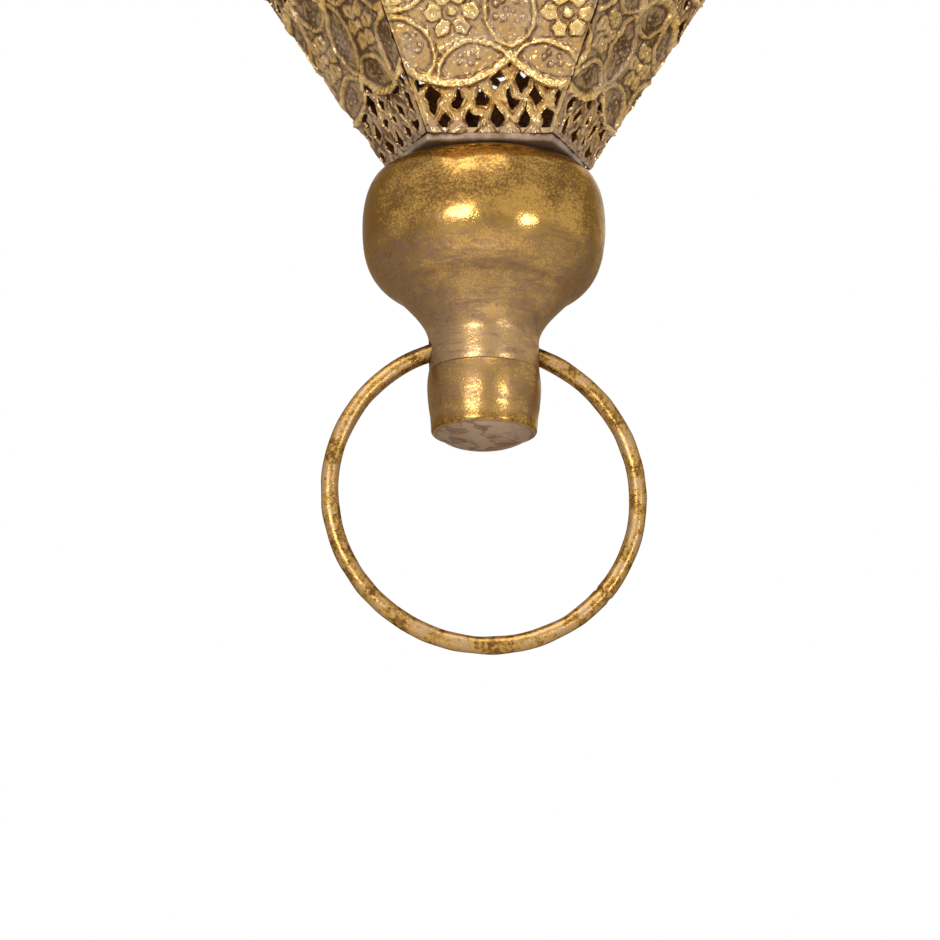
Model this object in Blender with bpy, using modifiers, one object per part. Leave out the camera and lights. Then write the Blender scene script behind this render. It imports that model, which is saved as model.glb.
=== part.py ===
"""Five-sided hanging lantern in antique brass.

From the top: a ceiling plate and canopy, a loop, a chain, the lamp's own loop and crown, a pierced body
of five upper and five lower panels round a lamp holder, a turned finial, and a pull ring that swings in
its neck.
Metres, +Z up. The origin is on the ceiling, at the centre of the plate's top face.
"""

import math
from collections import namedtuple

import bmesh
import bpy
from mathutils import Matrix, Vector

MM = 0.001

# Clearances
SEAT_GAP = 0.3 * MM
RUNNING_GAP = 0.25 * MM

# Facets of round pieces
SHELL_STEPS = 20
SMALL_STEPS = 16
PIN_STEPS = 12
WIRE_STEPS = 6
CURVE_STEPS = 5
LOOP_STEPS = 16
LOOP_WIRE_STEPS = 8
SMOOTH_ANGLE = math.radians(40)

# Ceiling plate, stud and canopy
PLATE_RADIUS = 36 * MM
PLATE_THICKNESS = 2.5 * MM
SCREW_SLOT_OFFSET = 24 * MM
SCREW_SLOT_LENGTH = 12 * MM
SCREW_SLOT_WIDTH = 5 * MM
STUD_RADIUS = 4.9 * MM
CANOPY_RADIUS = 55 * MM
CANOPY_DEPTH = 38 * MM
CANOPY_FLOOR_RADIUS = 25 * MM
CANOPY_LIP = 4 * MM
CANOPY_SIDE_EASE = 24.5 * MM
CANOPY_FLOOR_EASE = 13.3 * MM
CANOPY_WALL = 1.0 * MM
CANOPY_CEILING_GAP = 0.5 * MM
BUSH_OFFSET = 17 * MM
BUSH_BORE = 3.2 * MM
BUSH_NECK = 4.4 * MM
BUSH_FLANGE = 6.2 * MM
BUSH_FLANGE_THICKNESS = 1.6 * MM

# Cast loops at both ends of the chain
LOOP_RADIUS = 9.5 * MM
LOOP_WIRE = 2.4 * MM
COLLAR_RADIUS = 8.5 * MM
COLLAR_HEIGHT = 15 * MM
COLLAR_BORE_DEPTH = 10.5 * MM
COLLAR_CHAMFER = 1.2 * MM
LOOP_SINK = 2.0 * MM
FLEX_HOLE = 2.8 * MM

# Chain
LINK_COUNT = 6
LINK_WIRE = 1.7 * MM
LINK_INNER_LENGTH = 24 * MM
LINK_INNER_WIDTH = 10 * MM

# Body: corner radii of the five-sided section, and heights
SIDES = 5
BASE_CORNER_RADIUS = 29.9 * MM
BELT_CORNER_RADIUS = 118.3 * MM
NECK_CORNER_RADIUS = 34 * MM
LOWER_HEIGHT = 134 * MM
UPPER_HEIGHT = 88 * MM
PANEL_THICKNESS = 0.8 * MM

# Belt round the widest section
BELT_HEIGHT = 13 * MM
BELT_THICKNESS = 1.2 * MM
BELT_BULGE = 1.5 * MM
BELT_WEB = 1.6 * MM
BELT_WEB_DEPTH = 7 * MM

# Plates that close the body
PLATE_WALL = 1.5 * MM
BASE_PLATE_WALL = 2.0 * MM
TOP_SKIRT = 8 * MM
BASE_PLATE_OVERHANG = 0.3 * MM

# Pierced lattice of the panels: a fine band at the foot, and a coarser one across the middle.
# The upper panels are wide at the foot, and their foot band stands clear of the belt.
LATTICE_MARGIN = 1.3 * MM
PIERCINGS_PER_COLUMN = 3
FOOT_BAND_COLUMNS = 2
FOOT_BAND_ROWS = 4
FOOT_BAND_START = 4.6 * MM
FOOT_BAND_PITCH = 3.7 * MM
FOOT_HOLE_WIDTH = 3.5 * MM
FOOT_HOLE_HEIGHT = 5.2 * MM
FOOT_BAND_LOBE = 7.8 * MM
FOOT_BAND_CUSP = 14.4 * MM
MIDDLE_BAND_COLUMNS = 3
MIDDLE_BAND_ROWS = 3
MIDDLE_BAND_START = 51 * MM
UPPER_BAND_START = 53 * MM
MIDDLE_BAND_PITCH = 4.6 * MM
MIDDLE_HOLE_WIDTH = 4.4 * MM
MIDDLE_HOLE_HEIGHT = 6.4 * MM
MIDDLE_BAND_LOBE = 9 * MM
MIDDLE_BAND_CUSP = 17 * MM
UPPER_FOOT_BAND_START = 11 * MM
UPPER_FOOT_BAND_ROWS = 2
UPPER_FOOT_HOLE_WIDTH = 9.5 * MM

# Crown on top of the body
CROWN_HEIGHT = 62 * MM
CROWN_RADIUS = 27.5 * MM
CROWN_NECK_RADIUS = 9.5 * MM
CROWN_BASE_RADIUS = 24 * MM
CROWN_WALL = 1.2 * MM
CROWN_NECK_LENGTH = 7.4 * MM
CROWN_NECK_EASE = 17.4 * MM
CROWN_BELLY_HEIGHT = 19.8 * MM
CROWN_BELLY_EASE = 16.1 * MM
CROWN_UNDERSIDE_EASE = 7.4 * MM
CROWN_FOOT_HEIGHT = 3.7 * MM
CROWN_FOOT_EASE = 6.2 * MM

# Finial below the body
FINIAL_HEIGHT = 74.7 * MM
FINIAL_RADIUS = 33.3 * MM
FINIAL_BELLY_HEIGHT = 57.5 * MM
FINIAL_SHOULDER_RADIUS = 21.7 * MM
FINIAL_WAIST_RADIUS = 24.0 * MM
FINIAL_WAIST_HEIGHT = 38.4 * MM
FINIAL_NECK_RADIUS = 15.0 * MM
FINIAL_NECK_HEIGHT = 24.8 * MM
FINIAL_SPIGOT_RADIUS = 13.3 * MM
FINIAL_SPIGOT_LENGTH = 10 * MM
FINIAL_WALL = 1.2 * MM

# How far the finial's curves carry on before they bend, as shares of the step to the next named point
SHOULDER_REACH, SHOULDER_DROP = 0.58, 0.03
BELLY_RISE, BELLY_FALL = 0.785, 0.49
WAIST_REACH, WAIST_RISE = 0.706, 0.178
NECK_REACH, NECK_DROP, NECK_RISE = 0.28, 0.21, 0.38

# Cap on the finial's end
END_CAP_HEIGHT = 16.5 * MM
END_CAP_RIM_RADIUS = 15.1 * MM
END_CAP_RADIUS = 15.5 * MM
END_CAP_SWELL_HEIGHT = 12.4 * MM
END_CAP_FOOT_RADIUS = 14.0 * MM
END_CAP_DOME = 3.2 * MM
END_CAP_DOME_SHOULDER = 2.4 * MM
END_CAP_EDGE = 0.6 * MM
END_CAP_RIM_EASE = 1.0 * MM

# Pull ring
RING_RADIUS = 42 * MM
RING_ROD = 2.4 * MM
RING_PIVOT_HEIGHT = 21.8 * MM
RING_HOLE = 3.2 * MM
RING_TURN = math.radians(6.5)
RING_JOINT_ANGLE = math.radians(-40)
RING_JOINT_GAP = 0.4 * MM
RING_SEGMENTS = 40

# Stem, lamp holder and bulb
STEM_RADIUS = 4.9 * MM
STEM_BORE = 3.5 * MM
NUT_ACROSS_FLATS = 17 * MM
NUT_HEIGHT = 6 * MM
HOLDER_RADIUS = 21 * MM
HOLDER_CAP_HEIGHT = 20 * MM
HOLDER_CAP_SHOULDER = 9 * MM
HOLDER_CAP_NECK = 6 * MM
HOLDER_CAP_REACH = 15.75 * MM
HOLDER_CAP_EASE = 4 * MM
HOLDER_BODY_HEIGHT = 36 * MM
HOLDER_WALL = 3.5 * MM
HOLDER_BASE_THICKNESS = 5 * MM
HOLDER_RIM = 2.2 * MM
STEM_DROP = 22 * MM
STEM_IN_HOLDER = 11 * MM
SHELL_WALL = 0.8 * MM
SHELL_LENGTH = 24 * MM
CONTACT_RADIUS = 4 * MM
CONTACT_HEIGHT = 3 * MM
CONTACT_TIP_RADIUS = 2.4 * MM
BULB_CAP_RADIUS = 13.0 * MM
BULB_CAP_LENGTH = 24 * MM
BULB_CAP_TIP_RADIUS = 3.6 * MM
BULB_CAP_TAPER = 4 * MM
BULB_RADIUS = 30 * MM
BULB_LENGTH = 78 * MM
BULB_WALL = 0.8 * MM
BULB_NECK_EASE = 20 * MM
BULB_BELLY_EASE = 22 * MM
BULB_DOME_STEPS = 4

# Rod and nuts that hold the finial
ROD_RADIUS = 3.9 * MM
ROD_NUT_ACROSS_FLATS = 13 * MM
ROD_NUT_HEIGHT = 5 * MM
ROD_END = 3 * MM

# Door in one upper panel
DOOR_SIDE = 2
DOOR_CLIP_WIDTH = 9 * MM
DOOR_CLIP_HEIGHT = 14 * MM
HINGE_RADIUS = 2.3 * MM
HINGE_PIN = 1.1 * MM
HINGE_KNUCKLE = 12 * MM
HINGE_OFFSET = 3.2 * MM
HINGE_LEAF = 1.2 * MM
HINGE_LEAF_LENGTH = 12 * MM
HINGE_STRAP = 0.9 * MM
HINGE_STRAP_DEPTH = 3 * MM
KNOB_HEIGHT = 7 * MM
KNOB_SWELL = 5.2 * MM
KNOB_UNDERSIDE = 2.8 * MM
KNOB_STEM_RADIUS = 1.8 * MM
KNOB_STEM_TOP = 2.1 * MM
KNOB_FOOT_RADIUS = 3.2 * MM
KNOB_FOOT_HEIGHT = 1 * MM
KNOB_EDGE_DISTANCE = 12 * MM

# Worked out from the sizes above
HALF_SIDE = math.pi / SIDES
FACE = math.cos(HALF_SIDE)
CORNER = math.sin(HALF_SIDE)
CORNER_TURN = math.radians(90) - 2 * HALF_SIDE

Band = namedtuple("Band", "columns rows start pitch hole_width hole_height lobe cusp")
FOOT_BAND = Band(
    FOOT_BAND_COLUMNS, FOOT_BAND_ROWS, FOOT_BAND_START, FOOT_BAND_PITCH,
    FOOT_HOLE_WIDTH, FOOT_HOLE_HEIGHT, FOOT_BAND_LOBE, FOOT_BAND_CUSP,
)
MIDDLE_BAND = Band(
    MIDDLE_BAND_COLUMNS, MIDDLE_BAND_ROWS, MIDDLE_BAND_START, MIDDLE_BAND_PITCH,
    MIDDLE_HOLE_WIDTH, MIDDLE_HOLE_HEIGHT, MIDDLE_BAND_LOBE, MIDDLE_BAND_CUSP,
)
LOWER_BANDS = (FOOT_BAND, MIDDLE_BAND)
UPPER_FOOT_BAND = MIDDLE_BAND._replace(
    start=UPPER_FOOT_BAND_START, rows=UPPER_FOOT_BAND_ROWS, hole_width=UPPER_FOOT_HOLE_WIDTH
)
UPPER_MIDDLE_BAND = MIDDLE_BAND._replace(start=UPPER_BAND_START)
UPPER_BANDS = (UPPER_FOOT_BAND, UPPER_MIDDLE_BAND)
DOOR_BANDS = (UPPER_MIDDLE_BAND,)

PIECES = None
CUTTERS = None


def clear_scene():
    for obj in list(bpy.data.objects):
        bpy.data.objects.remove(obj, do_unlink=True)


def new_collection(name):
    collection = bpy.data.collections.new(name)
    bpy.context.scene.collection.children.link(collection)
    return collection


def metal(name, colour, roughness, metallic=1.0):
    """A Principled material of one colour."""
    material = bpy.data.materials.new(name)
    material.use_nodes = True
    shader = material.node_tree.nodes["Principled BSDF"]
    shader.inputs["Base Color"].default_value = (*colour, 1)
    shader.inputs["Roughness"].default_value = roughness
    shader.inputs["Metallic"].default_value = metallic
    return material


def make_materials():
    return {
        "antique": metal("antique_brass", (0.42, 0.28, 0.11), 0.38),
        "stamped": metal("stamped_brass", (0.40, 0.29, 0.14), 0.45),
        "steel": metal("zinc_plated_steel", (0.55, 0.55, 0.53), 0.4),
        "contact": metal("contact_brass", (0.70, 0.52, 0.24), 0.3),
        "porcelain": metal("glazed_porcelain", (0.85, 0.83, 0.78), 0.2, 0.0),
        "rubber": metal("black_rubber", (0.03, 0.03, 0.03), 0.7, 0.0),
        "glass": metal("frosted_glass", (0.92, 0.90, 0.84), 0.35, 0.0),
    }


def piece(obj, material, parent=None, location=(0, 0, 0), rotation=(0, 0, 0)):
    """Files an object as a piece of the lantern and puts it in its place."""
    if obj.name not in PIECES.objects:
        PIECES.objects.link(obj)
    obj.data.materials.clear()
    obj.data.materials.append(material)
    obj.parent = parent
    obj.location = location
    obj.rotation_euler = rotation
    return obj


def cutter(obj, parent=None, location=(0, 0, 0), rotation=(0, 0, 0)):
    """Files an object as a helper that a Boolean reads."""
    CUTTERS.objects.link(obj)
    obj.hide_render = True
    obj.display_type = "WIRE"
    obj.parent = parent
    obj.location = location
    obj.rotation_euler = rotation
    return obj


def pivot(name, location, parent=None, turn=0.0):
    empty = bpy.data.objects.new(name, None)
    PIECES.objects.link(empty)
    empty.parent = parent
    empty.location = location
    empty.rotation_euler = (0, 0, turn)
    return empty


def boolean(obj, other, operation):
    modifier = obj.modifiers.new(operation.lower(), "BOOLEAN")
    modifier.operation = operation
    modifier.object = other


def bezier(start, first, second, end, steps):
    """Points of a cubic curve after its start, with its end."""
    points = []
    for i in range(1, steps + 1):
        t = i / steps
        u = 1 - t
        weights = (u**3, 3 * u * u * t, 3 * u * t * t, t**3)
        corners = (start, first, second, end)
        points.append(tuple(sum(w * p[k] for w, p in zip(weights, corners)) for k in (0, 1)))
    return points


def circle(radius, steps, centre=(0, 0)):
    turns = [2 * math.pi * i / steps for i in range(steps)]
    return [(centre[0] + radius * math.cos(a), centre[1] + radius * math.sin(a)) for a in turns]


def stadium(radius, straight, steps):
    """A closed outline of two half circles joined by straight sides, long in its second axis."""
    points = []
    for i in range(2 * steps + 2):
        half = i // (steps + 1)
        angle = math.pi * ((i % (steps + 1)) / steps + half)
        shift = straight / 2 if half == 0 else -straight / 2
        points.append((radius * math.cos(angle), shift + radius * math.sin(angle)))
    return points


def turned(name, profile, steps=SHELL_STEPS, on_axis=False, wall=0.0):
    """A profile of (radius, height) points turned round Z.

    A closed profile runs down its outer side first. A profile on the axis starts and ends there.
    With a wall, the profile is the open outer line of a shell of that thickness.
    """
    mesh = bpy.data.meshes.new(name)
    bm = bmesh.new()
    corners = [bm.verts.new((radius, 0, height)) for radius, height in profile]
    for a, b in zip(corners, corners[1:]):
        bm.edges.new((a, b))
    if not on_axis and not wall:
        bm.edges.new((corners[-1], corners[0]))
    bm.to_mesh(mesh)
    bm.free()
    obj = bpy.data.objects.new(name, mesh)
    screw = obj.modifiers.new("turn", "SCREW")
    screw.steps = screw.render_steps = steps
    screw.use_smooth_shade = steps > SIDES
    screw.use_merge_vertices = on_axis
    screw.merge_threshold = 0.01 * MM
    if wall:
        shell = obj.modifiers.new("wall", "SOLIDIFY")
        shell.thickness = wall
        shell.offset = -1
        shell.use_even_offset = True
    return obj


def flat(name, outlines, thickness):
    """A plate cut to its first outline, with the other outlines as holes."""
    curve = bpy.data.curves.new(name, "CURVE")
    curve.dimensions = "2D"
    curve.fill_mode = "BOTH"
    curve.extrude = thickness / 2
    for outline in outlines:
        spline = curve.splines.new("POLY")
        spline.points.add(len(outline) - 1)
        for point, (x, y) in zip(spline.points, outline):
            point.co = (x, y, 0, 1)
        spline.use_cyclic_u = True
    return bpy.data.objects.new(name, curve)


def wire(name, points, radius, cyclic):
    """A round wire through points, as a curve with closed ends."""
    curve = bpy.data.curves.new(name, "CURVE")
    curve.dimensions = "3D"
    curve.bevel_depth = radius
    curve.bevel_resolution = 2
    curve.use_fill_caps = not cyclic
    spline = curve.splines.new("POLY")
    spline.points.add(len(points) - 1)
    for target, point in zip(spline.points, points):
        target.co = (*point, 1)
    spline.use_cyclic_u = cyclic
    return bpy.data.objects.new(name, curve)


def round_bar(name, radius, length, steps=SMALL_STEPS):
    """A cylinder along Z, centred on its origin."""
    mesh = bpy.data.meshes.new(name)
    bm = bmesh.new()
    bmesh.ops.create_cone(
        bm, cap_ends=True, segments=steps, radius1=radius, radius2=radius, depth=length
    )
    bm.to_mesh(mesh)
    bm.free()
    mesh.shade_smooth()
    mesh.set_sharp_from_angle(angle=SMOOTH_ANGLE)
    return bpy.data.objects.new(name, mesh)


def block(name, size, centre=(0, 0, 0)):
    mesh = bpy.data.meshes.new(name)
    bm = bmesh.new()
    bmesh.ops.create_cube(bm, size=1)
    bmesh.ops.scale(bm, vec=size, verts=bm.verts)
    bmesh.ops.translate(bm, vec=centre, verts=bm.verts)
    bm.to_mesh(mesh)
    bm.free()
    return bpy.data.objects.new(name, mesh)


def tube(name, radius, bore, length, steps=SMALL_STEPS):
    """A tube along Z, centred on its origin. Its bore is opened so that its flats clear the radius given."""
    open_bore = bore / math.cos(math.pi / steps)
    half = length / 2
    return turned(name, [(radius, half), (radius, -half), (open_bore, -half), (open_bore, half)], steps)


def hex_nut(name, across_flats, height, bore):
    corner = across_flats / 2 / math.cos(math.pi / 6)
    return flat(name, [circle(corner, 6), circle(bore, SMALL_STEPS)], height)


def lobed_edge(across, width, band):
    """Height of a band's scalloped border at a place across a panel: low under each column, high between."""
    column = width / band.columns
    from_middle = abs((across + width / 2) % column - column / 2) / (column / 2)
    scallop = 1 - math.sqrt(max(0.0, 1 - from_middle**2))
    return band.start + band.lobe + (band.cusp - band.lobe) * scallop


def piercings(half_width_at, bands):
    """Diamond outlines of the lattice bands, each band filled up to its scalloped border."""
    outlines = []
    for band in bands:
        half_width = band.hole_width / 2
        half_height = band.hole_height / 2
        for row in range(band.rows):
            height = band.start + row * band.pitch
            width = 2 * half_width_at(height)
            count = band.columns * PIERCINGS_PER_COLUMN
            step = width / count
            for i in range(count + row % 2):
                across = (i + 0.5 - 0.5 * (row % 2)) * step - width / 2
                room = half_width_at(height) - abs(across)
                under = lobed_edge(across, width, band) - height
                if room < half_width + LATTICE_MARGIN or under < half_height + LATTICE_MARGIN:
                    continue
                outlines.append([
                    (across, height - half_height),
                    (across + half_width, height),
                    (across, height + half_height),
                    (across - half_width, height),
                ])
    return outlines


def panel_facts(low_radius, high_radius, height):
    """Lean, slant length and edge set-back of a flat side between two corner radii."""
    lean = math.atan2(FACE * (high_radius - low_radius), height)
    slant = height / math.cos(lean)
    turn = math.cos(lean) ** 2 * math.cos(2 * HALF_SIDE) + math.sin(lean) ** 2
    half_turn = math.acos(turn) / 2
    edge_slope = math.atan2(CORNER * (high_radius - low_radius), slant)
    set_back = PANEL_THICKNESS * math.tan(half_turn) + SEAT_GAP / 2 / math.cos(half_turn)
    return lean, slant, set_back / math.cos(edge_slope)


def panel(name, low_radius, high_radius, height, bands, clip_width=0.0, clip_height=0.0):
    """A flat side panel with its lattice, standing on its lower edge in its own plane.

    A clip takes the lower corners off, so that a panel that folds clears its neighbours.
    """
    _, slant, set_back = panel_facts(low_radius, high_radius, height)

    def half_width_at(up):
        return CORNER * (low_radius + (high_radius - low_radius) * up / slant) - set_back

    low, high = half_width_at(0), half_width_at(slant)
    right_side = [(low - clip_width, 0), (high, slant)]
    if clip_height:
        right_side.insert(1, (half_width_at(clip_height), clip_height))
    outline = [*right_side, *[(-across, up) for across, up in reversed(right_side)]]
    return flat(name, [outline, *piercings(half_width_at, bands)], PANEL_THICKNESS)


def panel_place(low_radius, high_radius, height, base, side):
    """Location and rotation of a panel of that side, with its outer face through the corner radii."""
    lean, _, _ = panel_facts(low_radius, high_radius, height)
    turn = 2 * HALF_SIDE * side
    out = FACE * low_radius - PANEL_THICKNESS / 2 * math.cos(lean)
    up = base + PANEL_THICKNESS / 2 * math.sin(lean)
    location = Matrix.Rotation(turn, 3, "Z") @ Vector((0, -out, up))
    return location, (math.radians(90) + lean, 0, turn)


def cast_loop(name, upright, with_flex_hole):
    """A ring on a bored collar. The origin is at the collar's end, and the ring lies in the XZ plane.

    Upright puts the ring above the collar, with the bore opening downwards.
    """
    way = 1 if upright else -1
    bore = STUD_RADIUS + SEAT_GAP
    profile = [
        (0, COLLAR_HEIGHT),
        (COLLAR_RADIUS - COLLAR_CHAMFER, COLLAR_HEIGHT),
        (COLLAR_RADIUS, COLLAR_HEIGHT - COLLAR_CHAMFER),
        (COLLAR_RADIUS, 0),
        (bore, 0),
        (bore, COLLAR_BORE_DEPTH),
        (0, COLLAR_BORE_DEPTH),
    ]
    if not upright:
        profile = [(radius, -height) for radius, height in reversed(profile)]
    obj = turned(name, profile, SMALL_STEPS, on_axis=True)
    bpy.ops.mesh.primitive_torus_add(
        major_radius=LOOP_RADIUS,
        minor_radius=LOOP_WIRE,
        major_segments=LOOP_STEPS,
        minor_segments=LOOP_WIRE_STEPS,
    )
    ring = bpy.context.object
    ring.name = name + "_ring"
    ring.users_collection[0].objects.unlink(ring)
    boolean(obj, ring, "UNION")
    flex = None
    if with_flex_hole:
        flex = round_bar(name + "_flex_way", FLEX_HOLE, 2 * COLLAR_RADIUS, PIN_STEPS)
        boolean(obj, flex, "DIFFERENCE")
    return obj, ring, flex, way


def place_loop(name, upright, with_flex_hole, material, parent, location, turn):
    obj, ring, flex, way = cast_loop(name, upright, with_flex_hole)
    piece(obj, material, parent, location, (0, 0, turn))
    centre = way * (COLLAR_HEIGHT + LOOP_RADIUS - LOOP_SINK)
    cutter(ring, obj, (0, 0, centre), (math.radians(90), 0, 0))
    if flex:
        cutter(flex, obj, (COLLAR_RADIUS, 0, way * COLLAR_BORE_DEPTH / 2), (0, math.radians(90), 0))
    return obj


def build_ceiling_fitting(materials):
    """Plate, stud, canopy, cable bush and the clamping loop. Returns the loop's lowest wire centre."""
    slots = [
        [(side * SCREW_SLOT_OFFSET + y, x) for x, y in stadium(
            SCREW_SLOT_WIDTH / 2, SCREW_SLOT_LENGTH - SCREW_SLOT_WIDTH, WIRE_STEPS)]
        for side in (-1, 1)
    ]
    plate = flat("ceiling_plate", [circle(PLATE_RADIUS, SHELL_STEPS), *slots], PLATE_THICKNESS)
    piece(plate, materials["steel"], location=(0, 0, -PLATE_THICKNESS / 2))

    stud_top = -PLATE_THICKNESS - SEAT_GAP
    collar_top = -CANOPY_CEILING_GAP - CANOPY_DEPTH - SEAT_GAP
    stud_end = collar_top - COLLAR_BORE_DEPTH + SEAT_GAP
    stud = round_bar("ceiling_stud", STUD_RADIUS, stud_top - stud_end)
    piece(stud, materials["steel"], location=(0, 0, (stud_top + stud_end) / 2))

    rim = -CANOPY_CEILING_GAP
    floor = rim - CANOPY_DEPTH
    wall_foot = (CANOPY_RADIUS, rim - CANOPY_LIP)
    floor_edge = (CANOPY_FLOOR_RADIUS, floor)
    outer = [(CANOPY_RADIUS, rim), wall_foot]
    outer += bezier(
        wall_foot,
        (CANOPY_RADIUS, wall_foot[1] - CANOPY_SIDE_EASE),
        (CANOPY_FLOOR_RADIUS + CANOPY_FLOOR_EASE, floor),
        floor_edge,
        CURVE_STEPS,
    )
    outer.append((STUD_RADIUS + SEAT_GAP, floor))
    canopy = turned("canopy", outer, wall=CANOPY_WALL)
    piece(canopy, materials["antique"])
    way = round_bar("canopy_bush_way", BUSH_NECK + SEAT_GAP, 4 * CANOPY_WALL, SMALL_STEPS)
    cutter(way, location=(BUSH_OFFSET, 0, floor))
    boolean(canopy, way, "DIFFERENCE")

    over = CANOPY_WALL + SEAT_GAP
    bush = turned(
        "canopy_cable_bush",
        [
            (BUSH_FLANGE, over + BUSH_FLANGE_THICKNESS),
            (BUSH_FLANGE, over),
            (BUSH_NECK, over),
            (BUSH_NECK, -SEAT_GAP),
            (BUSH_FLANGE, -SEAT_GAP),
            (BUSH_FLANGE, -SEAT_GAP - BUSH_FLANGE_THICKNESS),
            (BUSH_BORE, -SEAT_GAP - BUSH_FLANGE_THICKNESS),
            (BUSH_BORE, over + BUSH_FLANGE_THICKNESS),
        ],
        SMALL_STEPS,
    )
    piece(bush, materials["rubber"], location=(BUSH_OFFSET, 0, floor))

    place_loop("canopy_loop", False, False, materials["antique"], None, (0, 0, collar_top), 0.0)
    return collar_top - COLLAR_HEIGHT + LOOP_SINK - 2 * LOOP_RADIUS


def build_chain(first_axis, material):
    """The links, each with its origin on the wire it hangs on. Returns where the last link carries."""
    bend = LINK_INNER_WIDTH / 2 + LINK_WIRE
    outline = stadium(bend, LINK_INNER_LENGTH - LINK_INNER_WIDTH, WIRE_STEPS)
    axis = first_axis
    held_by = LOOP_WIRE
    for i in range(LINK_COUNT):
        centre = held_by + SEAT_GAP + LINK_WIRE - LINK_INNER_LENGTH / 2 - LINK_WIRE
        link = wire(f"chain_link_{i + 1}", [(x, 0, centre + z) for x, z in outline], LINK_WIRE, True)
        quarter = math.radians(90) if i % 2 == 0 else 0.0
        piece(link, material, None, (0, 0, axis), (0, 0, quarter))
        axis += centre - LINK_INNER_LENGTH / 2 - LINK_WIRE
        held_by = LINK_WIRE
    return axis


def build_body(materials, lamp):
    """Base plate, lower panels, belt, upper panels, door and top plate. Returns the top's height."""
    stamped = materials["stamped"]
    antique = materials["antique"]
    lower_lean, _, _ = panel_facts(BASE_CORNER_RADIUS, BELT_CORNER_RADIUS, LOWER_HEIGHT)
    upper_lean, upper_slant, _ = panel_facts(BELT_CORNER_RADIUS, NECK_CORNER_RADIUS, UPPER_HEIGHT)

    corner = BASE_CORNER_RADIUS + BASE_PLATE_OVERHANG
    rod_hole = circle(ROD_RADIUS + SEAT_GAP, SMALL_STEPS)
    base_plate = flat("base_plate", [circle(corner, SIDES), rod_hole], BASE_PLATE_WALL)
    piece(base_plate, antique, lamp, (0, 0, -SEAT_GAP - BASE_PLATE_WALL / 2), (0, 0, CORNER_TURN))

    sides = ("front", "right", "back_right", "back_left", "left")
    for side, word in enumerate(sides):
        name = "lower_panel_" + word
        lower = panel(name, BASE_CORNER_RADIUS, BELT_CORNER_RADIUS, LOWER_HEIGHT, LOWER_BANDS)
        place = panel_place(BASE_CORNER_RADIUS, BELT_CORNER_RADIUS, LOWER_HEIGHT, 0.0, side)
        piece(lower, stamped, lamp, *place)

    web_low = LOWER_HEIGHT + PANEL_THICKNESS * math.sin(lower_lean) + SEAT_GAP
    belt_middle = web_low + BELT_WEB / 2
    upper_base = web_low + BELT_WEB + SEAT_GAP - PANEL_THICKNESS * math.sin(upper_lean)
    inner = BELT_CORNER_RADIUS + SEAT_GAP / FACE
    outer = inner + BELT_THICKNESS / FACE
    half = BELT_HEIGHT / 2
    swell = (outer + BELT_BULGE, 0)
    band = [(outer, half), *bezier((outer, half), swell, swell, (outer, -half), CURVE_STEPS)]
    web_edge = inner - BELT_WEB_DEPTH
    band += [
        (inner, -half),
        (inner, -BELT_WEB / 2),
        (web_edge, -BELT_WEB / 2),
        (web_edge, BELT_WEB / 2),
        (inner, BELT_WEB / 2),
        (inner, half),
    ]
    piece(turned("belt", band, SIDES), antique, lamp, (0, 0, belt_middle), (0, 0, CORNER_TURN))

    for side, word in enumerate(sides):
        if side == DOOR_SIDE:
            continue
        name = "upper_panel_" + word
        upper = panel(name, BELT_CORNER_RADIUS, NECK_CORNER_RADIUS, UPPER_HEIGHT, UPPER_BANDS)
        place = panel_place(BELT_CORNER_RADIUS, NECK_CORNER_RADIUS, UPPER_HEIGHT, upper_base, side)
        piece(upper, stamped, lamp, *place)

    top = upper_base + UPPER_HEIGHT
    in_reach = NECK_CORNER_RADIUS - (PANEL_THICKNESS + SEAT_GAP) / math.cos(upper_lean) / FACE
    spread = math.tan(-upper_lean) / FACE
    top_plate = turned(
        "top_plate",
        [
            (0, top),
            (in_reach, top),
            (in_reach + TOP_SKIRT * spread, top - TOP_SKIRT),
            (in_reach + TOP_SKIRT * spread - PLATE_WALL / FACE, top - TOP_SKIRT),
            (in_reach + PLATE_WALL * spread - PLATE_WALL / FACE, top - PLATE_WALL),
            (0, top - PLATE_WALL),
        ],
        SIDES,
        on_axis=True,
    )
    piece(top_plate, antique, lamp, rotation=(0, 0, CORNER_TURN))
    stem_hole = round_bar("top_plate_stem_hole", STEM_RADIUS + SEAT_GAP, 4 * PLATE_WALL)
    cutter(stem_hole, lamp, (0, 0, top))
    boolean(top_plate, stem_hole, "DIFFERENCE")
    build_door(materials, lamp, upper_base, belt_middle + half, inner, upper_lean, upper_slant)
    return top


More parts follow.
